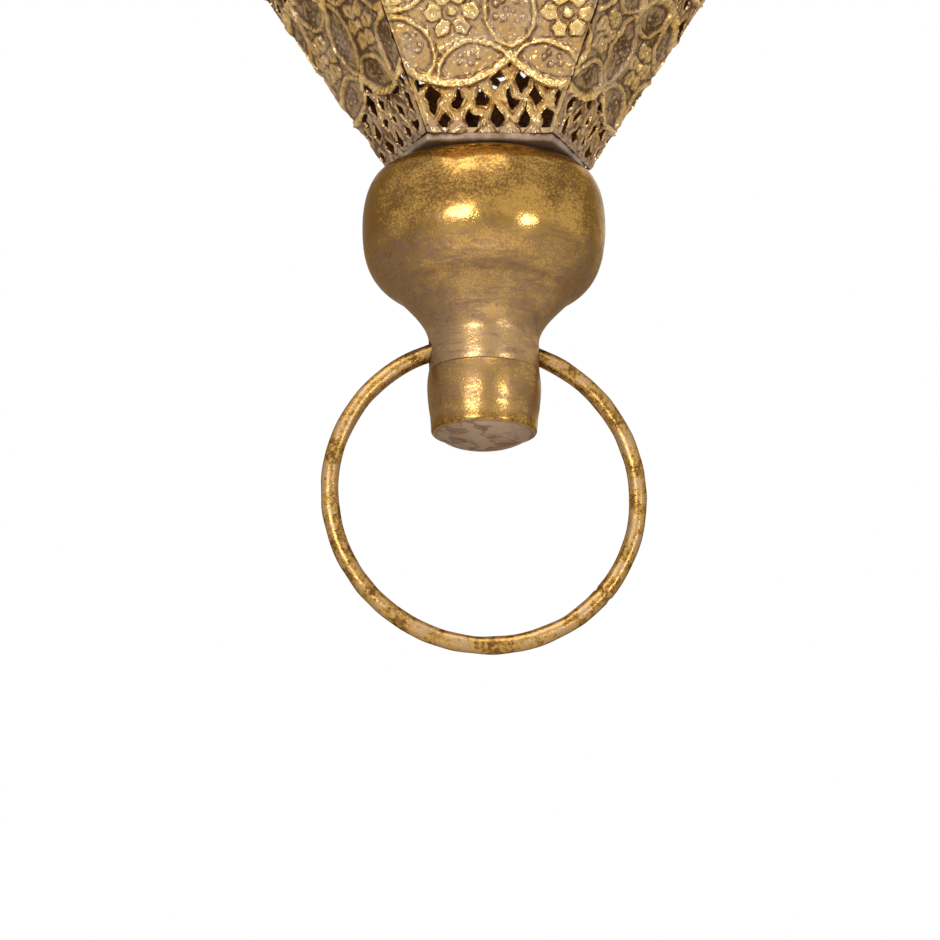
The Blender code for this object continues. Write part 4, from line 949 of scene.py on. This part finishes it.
def panel_facts(low_radius, high_radius, height):
    """Lean, slant and the half widths at foot and head of a flat side between two corner radii."""
    lean = math.atan2(FACE * (high_radius - low_radius), height)
    slant = height / math.cos(lean)
    turn = math.cos(lean) ** 2 * math.cos(2 * HALF_SIDE) + math.sin(lean) ** 2
    half_turn = math.acos(turn) / 2
    edge_slope = math.atan2(CORNER * (high_radius - low_radius), slant)
    set_back = PANEL_THICKNESS * math.tan(half_turn) + SEAT_GAP / 2 / math.cos(half_turn)
    set_back /= math.cos(edge_slope)
    return lean, slant, CORNER * low_radius - set_back, CORNER * high_radius - set_back


def panel_place(low_radius, lean, base, side):
    """Where a panel's own plane stands, with its outer face through the corner radii."""
    turn = Matrix.Rotation(2 * HALF_SIDE * side, 4, "Z")
    out = FACE * low_radius - PANEL_THICKNESS / 2 * math.cos(lean)
    up = base + PANEL_THICKNESS / 2 * math.sin(lean)
    stand = Matrix.Rotation(math.radians(90) + lean, 4, "X")
    return turn @ Matrix.Translation((0, -out, up)) @ stand


def leaned(obj):
    """Lets the foot of the body sit a little to one side, as it was soldered."""
    for vertex in obj.data.vertices:
        drop = max(0.0, 1 - (vertex.co.z - BODY_FOOT) / LOWER_HEIGHT)
        vertex.co.x += FOOT_ASIDE * drop
    return obj


def clip_corners(obj, low_half, slant):
    """Takes the door's lower corners off, as on the solid, so that it folds clear of its neighbours."""
    bm = bmesh.new()
    bm.from_mesh(obj.data)
    for way in (-1, 1):
        foot = Vector((way * (low_half - DOOR_CLIP_WIDTH), 0, 0))
        narrowing = DOOR_CLIP_HEIGHT / slant
        high = way * (low_half + (CORNER * (NECK_CORNER_RADIUS - BELT_CORNER_RADIUS)) * narrowing)
        along = Vector((high, DOOR_CLIP_HEIGHT, 0)) - foot
        outward = Vector((along.y, -along.x, 0)) * way
        everything = [*bm.verts, *bm.edges, *bm.faces]
        bmesh.ops.bisect_plane(bm, geom=everything, plane_co=foot, plane_no=outward, clear_outer=True)
    bm.to_mesh(obj.data)
    bm.free()


def stamped_panel(name, tree, facts, place, values, clipped=False):
    """A panel grown from the tree, given its sheet's thickness and put in its place."""
    sizes = bpy.context.scene.lantern_sizes
    _, slant, low_half, high_half = facts
    common = {
        "Foot Width": 2 * low_half / MM, "Head Width": 2 * high_half / MM, "Slant": slant / MM,
        "Medallion Radius": sizes.medallion_radius / MM, "Medallion Pitch": sizes.medallion_pitch / MM,
        "Row Rise": sizes.medallion_rise / MM, "Lattice Pitch": sizes.lattice_pitch / MM,
        "Lattice Rise": sizes.lattice_rise / MM, "Bar": sizes.lattice_bar / MM,
        "Sheet": material_for("stamped_brass"),
    }
    flat = grown(name + "_flat", tree, {**common, **values})
    if clipped:
        clip_corners(flat, low_half, slant)
    flat.data.materials.append(material_for("raw_sheet"))
    wall = flat.modifiers.new("sheet", "SOLIDIFY")
    wall.thickness = sizes.sheet
    wall.offset = -1
    wall.material_offset = 1
    panel = settled(name, flat)
    panel.data.transform(place @ Matrix.Translation((0, 0, PANEL_THICKNESS / 2 - STAMPED_BACK)))
    panel.data.set_sharp_from_angle(angle=math.radians(50))
    return panel


class LANTERN_OT_panels(bpy.types.Operator):
    """Stamps and pierces the ten side panels, the door among them"""

    bl_idname = "lantern.panels"
    bl_label = "Stamped panels"

    def execute(self, context):
        seed = context.scene.lantern_sizes.pattern_seed
        tree = panel_tree()
        lower = panel_facts(BASE_CORNER_RADIUS, BELT_CORNER_RADIUS, LOWER_HEIGHT)
        upper = panel_facts(BELT_CORNER_RADIUS, NECK_CORNER_RADIUS, UPPER_HEIGHT)
        upper_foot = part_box("upper_panel_front")[0][2] - PANEL_THICKNESS * math.sin(upper[0])
        for side, word in enumerate(SIDE_WORDS):
            node = "lower_panel_" + word
            place = panel_place(BASE_CORNER_RADIUS, lower[0], BODY_FOOT, side)
            panel = stamped_panel("stamped_" + node, tree, lower, place, {
                "Columns": 150, "Rows": 300, "Foot Detail": 0.55, "First Row": LOWER_FIRST_ROWS[side],
                "Shift": LOWER_SHIFTS[side], "Foot Hem": FOOT_HEM, "Patina": LOWER_PATINA_AND_SHADE[side],
                "Seed": seed + side})
            dress(leaned(panel), "lamp", "stamped_brass", node)

            is_door = side == DOOR_SIDE
            node = "door_panel" if is_door else "upper_panel_" + word
            place = panel_place(BELT_CORNER_RADIUS, upper[0], upper_foot, side)
            panel = stamped_panel("stamped_" + node, tree, upper, place, {
                "Columns": 190, "Rows": 180, "Foot Detail": 0.0, "First Row": UPPER_FIRST_ROW,
                "Shift": UPPER_SHIFTS[side % 2], "Foot Hem": DOOR_FOOT_HEM if is_door else FOOT_HEM,
                "Patina": UPPER_PATINA, "Seed": seed + SIDES + side}, clipped=is_door)
            dress(panel, "door" if is_door else "lamp", "stamped_brass", node)
        return {"FINISHED"}


# Finial, end cap and pull ring


def finial_line():
    """The finial's outer line, from its top hole to its spigot's end, in millimetres above its foot."""
    top = FINIAL_HEIGHT / MM
    line = [(4.2, top), (20.6, top)]
    line += bezier((20.6, top), (21.2, top), (21.7, top), (22.4, 74.6), 3)
    line += bezier((22.4, 74.6), (28.43, 74.18), (33.3, 71.0), (33.3, 57.5), 22)
    line += bezier((33.3, 57.5), (33.3, 48.14), (30.57, 41.8), (24.0, 38.4), 20)
    line += bezier((24.0, 38.4), (21.4, 35.54), (15.0, 29.97), (15.0, 24.8), 18)
    line += [(15.0, 20.5), (15.0, 17.0), (14.92, 16.76), (13.3, 16.72), (13.3, 6.8)]
    return line


def end_cap_line():
    """The end cap's line, from its inside over its rim to its end, heights above the finial's foot."""
    line = [(0, 6.5), (13.6, 6.5), (13.6, 16.68), (14.9, 16.68)]
    line += bezier((14.9, 16.68), (15.1, 16.66), (15.15, 16.4), (15.2, 15.7), 6)
    line += bezier((15.2, 15.7), (15.65, 13.2), (15.5, 8.6), (14.7, 4.4), 14)
    line += bezier((14.7, 4.4), (14.55, 3.0), (14.45, 1.4), (14.4, 0.2), 5)
    line += bezier((14.4, 0.2), (14.35, -0.5), (13.9, -0.8), (13.4, -0.7), 6)
    line += [(13.1, -0.55), (12.8, -0.8)]
    line += bezier((12.8, -0.8), (10.4, -3.4), (5.5, -4.4), (0, -4.4), 10)
    return line


class LANTERN_OT_finial(bpy.types.Operator):
    """Spins the hollow finial, with the two holes that the ring hangs in, and its end cap"""

    bl_idname = "lantern.finial"
    bl_label = "Finial and end cap"

    def execute(self, context):
        base = FINIAL_FOOT / MM
        shell = turned("finial_shell", walled(finial_line(), wall=1.2), steps=128, base=base)
        hand_worked(shell, depth=0.25 * MM, size=14 * MM, seed=5)
        hole = drill("ring_way", radius=3.2, reach=30)
        lay = Matrix.Rotation(RING_TURN, 4, "Z") @ Matrix.Rotation(math.radians(90), 4, "Y")
        hole.data.transform(Matrix.Translation((0, 0, RING_AXIS)) @ lay)
        finial = joined_solid("spun_finial", shell, [("DIFFERENCE", hole)])
        dulled(finial, FINIAL_FOOT, (
            (16, 0.55), (24, 0.55), (34, 0.45), (44, 0.4), (51, 0.2), (54, 0.0), (75, 0.0)))
        # Patina and painted shade on the finial's flanks as seen from the front
        flanks_darkened(finial)
        dress(finial, "lamp", "antique_brass", "finial_bulb")

        cap = turned("finial_cap", end_cap_line(), steps=128, base=base)
        hand_worked(cap, depth=0.12 * MM, size=9 * MM, seed=8)
        dulled(cap, FINIAL_FOOT, (
            (-5, 1.1), (-0.75, 1.0), (-0.5, 0.0), (0.6, 0.0), (2.5, 0.35), (17, 0.35)))
        # Patina and painted shade on the cap's flanks as seen from the front
        flanks_darkened(cap)
        dress(cap, "lamp", "antique_brass", "finial_end_cap")
        return {"FINISHED"}


def ring_drop():
    """How far the ring's middle hangs below the holes that it passes through."""
    return math.sqrt(bpy.context.scene.lantern_sizes.ring_radius**2 - RING_HOLE_REACH**2)


class LANTERN_OT_ring(bpy.types.Operator):
    """Bends the pull ring from rod, with its brazed butt joint"""

    bl_idname = "lantern.ring"
    bl_label = "Pull ring"

    def execute(self, context):
        sizes = context.scene.lantern_sizes
        reach = sizes.ring_radius
        drop = ring_drop()
        segments = 360
        points = []
        radii = []
        for i in range(segments):
            angle = RING_JOINT_ANGLE + 2 * math.pi * (i + 0.5) / segments
            points.append((reach * math.cos(angle), reach * math.sin(angle) - drop))
            past_joint = min(i + 0.5, segments - i - 0.5) * 2 * math.pi * reach / segments
            notch = 0.4 * MM * max(0.0, 1 - past_joint / (0.8 * MM))
            swelling = 0.12 * MM * max(0.0, 1 - past_joint / (5 * MM))
            radii.append(sizes.ring_rod - notch + swelling)
        ring = swept("bent_pull_ring", points, radii, around=24)
        hand_worked(ring, depth=0.2 * MM, size=6 * MM, seed=11)
        ring.data.transform(Matrix.Translation((0, 0, RING_AXIS)) @ Matrix.Rotation(RING_TURN, 4, "Z"))
        dress(ring, "ring", "antique_brass", "pull_ring", finish_name="worn_rod")
        return {"FINISHED"}


# Plates and belt


def cut_plate(name, corner_radius, low, high, hole):
    """A five-sided plate, filed round at its corners and a little wavy, with a round hole."""
    edge = 0.8 * MM
    steps = 180
    ways = []
    reaches = []
    for i in range(steps):
        angle = 2 * math.pi * i / steps
        way = Vector((math.cos(angle), math.sin(angle), 0))
        from_side = (angle + math.radians(90) + HALF_SIDE) % (2 * HALF_SIDE) - HALF_SIDE
        straight = corner_radius * FACE / math.cos(from_side)
        filed = corner_radius * FACE * 1.04
        wave = 0.25 * MM * noise.noise(way * 4)
        ways.append(way)
        reaches.append(min(straight, 0.75 * straight + 0.25 * filed) + wave)
    rings = []
    for inset, height in (
        (0, high - edge / 4), (edge / 4, high), (None, high), (None, low), (edge, low),
        (edge * 0.3, low + edge * 0.3), (0, low + edge),
    ):
        up = Vector((0, 0, height))
        rings.append([
            way * (hole if inset is None else reach - inset) + up for way, reach in zip(ways, reaches)])
    return skinned(name, rings, looped=True, degrees=50)


def belt_line(half):
    """The belt's section about its middle: rolled at both edges, hollow between, with an inner web."""
    inner = (BELT_CORNER_RADIUS + SEAT_GAP / FACE) / MM
    face = inner + 1.2 / FACE
    roll = half - 2.4
    line = [(inner, half), (face - 0.3, half)]
    line += bezier((face - 0.3, half), (face + 1.6, half), (face + 1.6, roll), (face + 0.2, roll), 7)
    line += bezier(
        (face + 0.2, roll), (face + 1.3, half - 4), (face + 1.3, 4 - half), (face + 0.2, -roll), 8)
    line += bezier((face + 0.2, -roll), (face + 1.6, -roll), (face + 1.6, -half), (face - 0.3, -half), 7)
    web = inner - 7
    line += [(inner, -half), (inner, -0.8), (web, -0.8), (web, 0.8), (inner, 0.8)]
    return line


class LANTERN_OT_plates(bpy.types.Operator):
    """Cuts the base plate, and folds the belt with its rolled edges"""

    bl_idname = "lantern.plates"
    bl_label = "Base plate and belt"

    def execute(self, context):
        low, high = heights("base_plate")
        into_gap = 0.25
        plate = cut_plate(
            "cut_base_plate", corner_radius=30.2 * MM, low=low * MM, high=(high + into_gap) * MM,
            hole=4.2 * MM)
        dress(leaned(plate), "lamp", "antique_brass", "base_plate", finish_name="dull_plate")

        low, high = heights("belt")
        belt = turned("folded_belt", belt_line((high - low) / 2), steps=SIDES)
        belt.data.transform(Matrix.Rotation(HALF_SIDE / 2, 4, "Z"))
        bm = bmesh.new()
        bm.from_mesh(belt.data)
        level = [edge for edge in bm.edges if abs(edge.verts[0].co.z - edge.verts[1].co.z) < 0.01 * MM
                 and edge.calc_length() > 20 * MM]
        bmesh.ops.subdivide_edges(bm, edges=level, cuts=15, use_grid_fill=True)
        bm.to_mesh(belt.data)
        bm.free()
        belt.data.transform(Matrix.Translation((0, 0, (low + high) / 2 * MM)))
        smooth(belt, degrees=40)
        hand_worked(belt, depth=0.2 * MM, size=12 * MM, seed=2)
        dress(belt, "lamp", "antique_brass", "belt")
        return {"FINISHED"}


# Crown, canopy, loops and chain


def crown_line():
    """The crown's outer line, from its neck over a bead and a bulge to its foot, in millimetres."""
    line = [(5.2, 62), (8.9, 62), (9.5, 61.5), (9.5, 57.4)]
    line += [(10.3, 57.0), (10.3, 55.6), (9.5, 55.2), (9.5, 54.6)]
    line += bezier((9.5, 54.6), (9.5, 37.2), (27.5, 35.9), (27.5, 19.8), 28)
    line += bezier((27.5, 19.8), (27.5, 12.4), (24, 9.9), (24, 3.7), 14)
    line += [(24.6, 3.0), (24.9, 2.2), (24.7, 1.2), (24, 0.4), (23.4, 0)]
    return line


def canopy_line(rim):
    """The canopy's outer line, from its rim at the ceiling down to its loop's hole, in millimetres."""
    line = [(54.4, rim), (55, rim - 0.5), (55, rim - 3.2), (54.2, rim - 3.8), (54.2, rim - 4.4)]
    line += bezier((54.2, rim - 4.4), (54.2, rim - 28.5), (38.3, 0), (25, 0), 30)
    line += [(24.2, 0.0), (23.4, 0.3), (22.6, 0.0), (5.2, 0)]
    return line


class LANTERN_OT_crown(bpy.types.Operator):
    """Spins the crown above the body and the canopy at the ceiling, and moulds the canopy's cable bush"""

    bl_idname = "lantern.crown"
    bl_label = "Crown and canopy"

    def execute(self, context):
        base, _ = heights("crown")
        crown = turned("spun_crown", walled(crown_line(), wall=1.2), steps=120, base=base)
        hand_worked(crown, depth=0.22 * MM, size=13 * MM, seed=21)
        dress(crown, "lamp", "antique_brass", "crown")

        floor, rim = heights("canopy")
        shell = turned("canopy_shell", walled(canopy_line(rim - floor), wall=1), steps=128, base=floor)
        way = drill("bush_way", radius=4.7, reach=4)
        way.data.transform(Matrix.Translation((BUSH_ASIDE, 0, floor * MM)))
        canopy = joined_solid("spun_canopy", shell, [("DIFFERENCE", way)])
        dress(canopy, "ceiling", "antique_brass", "canopy")

        low, high = heights("canopy_cable_bush")
        lip = 1.6
        line = rounded([
            (3.2, high), (6.2, high), (6.2, high - lip), (4.4, high - lip),
            (4.4, low + lip), (6.2, low + lip), (6.2, low), (3.2, low)], radius=0.5)
        bush = turned("moulded_bush", line, steps=48)
        bush.data.transform(Matrix.Translation((BUSH_ASIDE, 0, 0)))
        dress(bush, "ceiling", "black_rubber", "canopy_cable_bush")
        return {"FINISHED"}


def cast_loop(name, node, upright):
    """A cast ring on a bored collar, taking the solid's place. An upright one has a hole for the flex."""
    low, high = heights(node)
    way = 1 if upright else -1
    line = rounded([
        (0, 15), (7.3, 15), (8.5, 13.4), (8.5, 9.6), (7.9, 9.0), (8.5, 8.4), (8.5, 2.2), (9.0, 1.6),
        (9.0, 0), (5.2, 0), (5.2, 10.5), (0, 10.5)], radius=0.5, steps=3)
    collar = turned(name + "_collar", [(radius, way * height) for radius, height in line], steps=64)
    steps = 72
    reach = 9.5 * MM
    ring_middle = way * 22.5 * MM
    wire_radius = 2.4 * MM
    points = []
    for i in range(steps):
        angle = 2 * math.pi * i / steps
        points.append((reach * math.cos(angle), ring_middle + reach * math.sin(angle)))
    wire = swept(name + "_ring", points, [wire_radius] * steps, around=20)
    others = [("UNION", wire)]
    if upright:
        flex = drill(name + "_flex_way", radius=2.8, reach=8, steps=32)
        lay = Matrix.Rotation(math.radians(90), 4, "Y")
        flex.data.transform(Matrix.Translation((8.5 * MM, 0, 5.25 * MM)) @ lay)
        others.append(("DIFFERENCE", flex))
    loop = joined_solid(name, collar, others)
    turn = Matrix.Rotation(math.radians(90) if upright else 0, 4, "Z")
    loop.data.transform(Matrix.Translation((0, 0, (low if upright else high) * MM)) @ turn)
    return hand_worked(loop, depth=0.12 * MM, size=6 * MM, seed=31 + way)


def link_tree():
    """One chain link: wire bent to two half circles, swollen by its weld on one straight side."""
    tree, given, out = tree_with("chain_link", {
        "NodeSocketFloat": ("Bend", "Straight", "Wire"), "NodeSocketMaterial": ("Metal",)})
    path = add(tree, "GeometryNodeCurvePrimitiveCircle", {"Resolution": 48, "Radius": given["Bend"]})
    spot = add(tree, "GeometryNodeInputPosition")
    axes = add(tree, "ShaderNodeSeparateXYZ", spot).outputs
    half = add(tree, MATH, given["Straight"], 0.5, operation="MULTIPLY")
    way = add(tree, MATH, axes["Y"], operation="SIGN")
    apart = add(tree, MATH, way, half, operation="MULTIPLY")
    stretch = add(tree, VECTOR, {"Y": apart})
    long_path = add(tree, "GeometryNodeSetPosition", {"Geometry": path, "Offset": stretch})
    fine = add(tree, "GeometryNodeResampleCurve", {"Curve": long_path, "Count": 120})
    from_weld = add(tree, MATH, axes["Y"], operation="ABSOLUTE")
    swell = add(tree, RANGE, from_weld, 0.2 * MM, 1.6 * MM, 0.14, 0.0, interpolation_type="SMOOTHSTEP")
    one_side = add(tree, COMPARE, axes["X"], 0.0, operation="GREATER_THAN")
    size = add(tree, MATH, swell, one_side, 1.0, operation="MULTIPLY_ADD")
    section = add(tree, "GeometryNodeCurvePrimitiveCircle", {"Resolution": 16, "Radius": given["Wire"]})
    bent = add(tree, "GeometryNodeCurveToMesh", fine, section, size)
    soft = add(tree, "GeometryNodeSetShadeSmooth", bent)
    real = add(tree, "GeometryNodeRealizeInstances", soft)
    final = add(tree, "GeometryNodeSetMaterial", {"Geometry": real, "Material": given["Metal"]})
    feed(tree, out, {"Geometry": final})
    return tree


class LANTERN_OT_chain(bpy.types.Operator):
    """Bends the chain's links, and casts the loops at its two ends"""

    bl_idname = "lantern.chain"
    bl_label = "Chain and loops"

    def execute(self, context):
        wire = context.scene.lantern_sizes.link_wire
        tree = link_tree()
        upright = Matrix.Rotation(math.radians(90), 4, "X")
        for node in sorted(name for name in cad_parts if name.startswith("chain_link_")):
            low, high = (Vector(corner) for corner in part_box(node))
            size = high - low
            width = max(size.x, size.y)
            link = grown("bent_" + node, tree, {
                "Bend": width / 2 - wire, "Straight": size.z - width, "Wire": wire,
                "Metal": material_for("antique_brass")})
            turn = Matrix.Rotation(math.radians(90) if size.y > size.x else 0, 4, "Z")
            link.data.transform(Matrix.Translation((low + high) / 2) @ turn @ upright)
            dress(link, "link_" + node[-1], "antique_brass", node)
        for body, node, is_upright in (("ceiling", "canopy_loop", False), ("lamp", "lamp_loop", True)):
            dress(cast_loop("cast_" + node, node, is_upright), body, "antique_brass", node)
        return {"FINISHED"}


# Lamp holder, bulb and small fittings


def holder_cap_line():
    """The porcelain cap: a collar that spreads to a skirt."""
    low, top = heights("holder_cap")
    line = [(5.2, top), (8.2, top), (9, top - 0.8), (9, top - 5.2)]
    line += bezier((9, top - 5.2), (15.75, top - 6), (21, top - 10), (21, low + 1.2), 16)
    line += [(20.6, low + 0.4), (20.0, low), (5.2, low)]
    return line


def holder_body_line():
    """The porcelain body: a hollow cylinder with a groove and a rim."""
    low, top = heights("holder_body")
    return rounded([
        (4.3, top), (21, top), (21, top - 9), (20.3, top - 9.6), (21, top - 10.2), (21, low + 2.2),
        (23.2, low + 2.2), (23.2, low), (17.5, low), (17.5, top - 5), (4.3, top - 5)], radius=0.6, steps=3)


def thread_rows(radius, top, low):
    """Points close enough together down a cylinder for a thread to be rolled into them."""
    rows = 60
    return [(radius, top - (top - low) * i / rows) for i in range(rows + 1)]


def bulb_line():
    """The bulb's inner line and its outer one, a wall apart."""
    low, top = heights("bulb_glass")
    wall = 0.8
    reach = 30
    middle = low + reach
    neck = [(13, top), *bezier((13, top), (13, top - 20), (reach, middle + 22), (reach, middle), 24)]
    dome = [math.pi / 2 * i / 16 for i in range(1, 16)]
    outer = [*neck, *[(reach * math.cos(a), middle - reach * math.sin(a)) for a in dome], (0, low)]
    inner = [(radius - wall, height) for radius, height in neck]
    inner += [((reach - wall) * math.cos(a), middle - (reach - wall) * math.sin(a)) for a in dome]
    return [(0, low + wall), *reversed(inner), *outer]


class LANTERN_OT_holder(bpy.types.Operator):
    """Makes the porcelain lamp holder, its screw shell and the bulb"""

    bl_idname = "lantern.holder"
    bl_label = "Lamp holder and bulb"

    def execute(self, context):
        cap = turned("slipcast_holder_cap", holder_cap_line())
        dress(cap, "lamp", "glazed_porcelain", "holder_cap")
        body = turned("slipcast_holder_body", holder_body_line())
        dress(body, "lamp", "glazed_porcelain", "holder_body")

        low, top = heights("holder_screw_shell")
        radius = 14.1
        flange = 0.8
        rows = thread_rows(radius, top - flange, low)
        shell = turned("rolled_screw_shell", [
            (17.2, top), (17.2, top - flange), *rows, (13.3, low), (13.3, top)])
        threaded(shell, low, top - 3, radius, depth=0.45)
        dress(shell, "lamp", "contact_brass", "holder_screw_shell")

        low, top = heights("bulb_cap")
        radius = 13
        rows = thread_rows(radius, top - 4, low)
        cap = turned("rolled_bulb_cap", [
            (0, top), (3.0, top), (3.6, top - 0.4), (4.4, top - 0.9), (11.8, top - 3.2), *rows, (0, low)])
        threaded(cap, low + 2, top - 4.2, radius, depth=0.9)
        dress(cap, "lamp", "contact_brass", "bulb_cap")

        glass = turned("blown_bulb_glass", bulb_line())
        dress(glass, "lamp", "frosted_glass", "bulb_glass")
        return {"FINISHED"}


class LANTERN_OT_fittings(bpy.types.Operator):
    """Gives the small fittings, which keep the solids' shapes, their finishes"""

    bl_idname = "lantern.fittings"
    bl_label = "Small fittings"

    def execute(self, context):
        paint_nodes("contact_brass", "holder_centre_contact")
        paint_nodes(
            "antique_brass", "top_plate", "hinge_bracket_left", "hinge_bracket_right", "door_hinge_leaf",
            "door_knob")
        paint_nodes(
            "zinc_plated_steel", "ceiling_plate", "ceiling_stud", "stem_tube", "stem_nut", "finial_rod",
            "finial_nut_upper", "finial_nut_lower", "hinge_pin")
        return {"FINISHED"}


# Stage


def photo_camera(scene):
    """The camera that took the photograph, aimed a little beside the ring's middle."""
    right = Vector((math.cos(PHOTO_AZIMUTH), math.sin(PHOTO_AZIMUTH), 0))
    level = Vector((math.sin(PHOTO_AZIMUTH), -math.cos(PHOTO_AZIMUTH), 0))
    to_camera = level * math.cos(PHOTO_ELEVATION) + Vector((0, 0, math.sin(PHOTO_ELEVATION)))
    above = to_camera.cross(right)
    ring_middle = Vector((0, 0, RING_AXIS - ring_drop()))
    target = ring_middle - right * PHOTO_LEFT + above * PHOTO_UP
    data = bpy.data.cameras.new("photo_camera")
    data.sensor_width = SENSOR_WIDTH
    data.lens = SENSOR_WIDTH * PHOTO_DISTANCE / PHOTO_WIDTH
    data.clip_start = 0.05
    camera = bpy.data.objects.new("photo_camera", data)
    scene.collection.objects.link(camera)
    camera.location = target + to_camera * PHOTO_DISTANCE
    camera.rotation_euler = (-to_camera).to_track_quat("-Z", "Y").to_euler()
    scene.camera = camera


def studio_lights(scene):
    """Soft boxes round the lantern: way to each, distance, width and height in metres, and watts."""
    for name, way, distance, width, height, power in (
        ("left_softbox", (-0.40, -0.915, -0.02), 1.6, 0.62, 0.2, 8.5),
        ("right_softbox", (0.63, -0.77, -0.09), 1.6, 0.34, 0.18, 4.5),
        ("top_softbox", (-0.1, -0.6, 0.8), 1.8, 1.6, 1.2, 18),
        ("floor_card", (0.0, -0.6, -0.8), 1.1, 2.2, 1.6, 4),
        ("back_softbox", (0.3, 0.85, 0.45), 1.8, 1.0, 1.0, 6),
    ):
        lamp = bpy.data.lights.new(name, "AREA")
        lamp.shape = "RECTANGLE"
        lamp.size = width
        lamp.size_y = height
        lamp.energy = power
        box = bpy.data.objects.new(name, lamp)
        scene.collection.objects.link(box)
        toward = Vector(way).normalized()
        box.location = Vector((0, 0, LIT_HEIGHT)) + toward * distance
        box.rotation_euler = toward.to_track_quat("Z", "Y").to_euler()


def white_surround(scene):
    """A world that is seen, mirrored and looked through as white, and lights a little less."""
    world = bpy.data.worlds.new("white_studio")
    scene.world = world
    world.use_nodes = True
    tree = world.node_tree
    shaded = tree.nodes["Background"]
    feed(tree, shaded, {"Color": (1, 1, 1, 1), "Strength": 0.75})
    seen = add(tree, "ShaderNodeBackground", {"Color": (1, 1, 1, 1), "Strength": 1.0})
    path = add(tree, "ShaderNodeLightPath")
    share = path.outputs["Is Camera Ray"]
    for word in ("Is Glossy Ray", "Is Transmission Ray"):
        share = add(tree, MATH, share, path.outputs[word], operation="MAXIMUM")
    mixed = add(tree, "ShaderNodeMixShader", share, shaded, seen)
    feed(tree, tree.nodes["World Output"], {"Surface": mixed})


def painted_floor(colours):
    """Matt floor paint: pale grey, faintly clouded."""
    material, tree, shader, place = finish("pale_floor")
    _, colour = clouded(
        tree, place, 500, colours.floor, linear("#E0DDD8"), (0.0, 1.0), most=0.2, detail=2.0)
    feed(tree, shader, {"Base Color": colour, "Roughness": 0.8})
    return material


class LANTERN_OT_stage(bpy.types.Operator):
    """Sets the photograph's camera, soft studio light, a white surround and a pale floor"""

    bl_idname = "lantern.stage"
    bl_label = "Stage"

    def execute(self, context):
        scene = context.scene
        scene.view_settings.view_transform = "Standard"
        photo_camera(scene)
        studio_lights(scene)
        white_surround(scene)
        bm = bmesh.new()
        bmesh.ops.create_grid(bm, x_segments=1, y_segments=1, size=FLOOR_HALF_SIZE)
        mesh = bpy.data.meshes.new("studio_floor")
        bm.to_mesh(mesh)
        bm.free()
        mesh.transform(Matrix.Translation((0, 0, FLOOR_HEIGHT)))
        mesh.materials.append(painted_floor(scene.lantern_colours))
        new_object("studio_floor", mesh)
        return {"FINISHED"}


class LANTERN_PT_sidebar(bpy.types.Panel):
    """Lists the lantern's pieces, sizes and colours"""

    bl_idname = "LANTERN_PT_sidebar"
    bl_label = "Hanging lantern"
    bl_space_type = "VIEW_3D"
    bl_region_type = "UI"
    bl_category = "Lantern"

    def draw(self, context):
        for operator in OPERATORS:
            self.layout.operator(operator.bl_idname)
        for group in (context.scene.lantern_sizes, context.scene.lantern_colours):
            for key in group.bl_rna.properties.keys():
                if key not in ("rna_type", "name"):
                    self.layout.prop(group, key)


OPERATORS = (
    LANTERN_OT_stage,
    LANTERN_OT_panels,
    LANTERN_OT_finial,
    LANTERN_OT_ring,
    LANTERN_OT_plates,
    LANTERN_OT_crown,
    LANTERN_OT_chain,
    LANTERN_OT_holder,
    LANTERN_OT_fittings,
)
CLASSES = (LanternSizes, LanternColours, *OPERATORS, LANTERN_PT_sidebar)


def register():
    for cls in CLASSES:
        bpy.utils.register_class(cls)
    bpy.types.Scene.lantern_sizes = PointerProperty(type=LanternSizes)
    bpy.types.Scene.lantern_colours = PointerProperty(type=LanternColours)


def unregister():
    del bpy.types.Scene.lantern_colours
    del bpy.types.Scene.lantern_sizes
    for cls in reversed(CLASSES):
        bpy.utils.unregister_class(cls)


def main():
    register()
    bpy.ops.lantern.stage()
    bpy.ops.lantern.panels()
    bpy.ops.lantern.finial()
    bpy.ops.lantern.ring()
    bpy.ops.lantern.plates()
    bpy.ops.lantern.crown()
    bpy.ops.lantern.chain()
    bpy.ops.lantern.holder()
    bpy.ops.lantern.fittings()


if __name__ == "__main__":
    main()
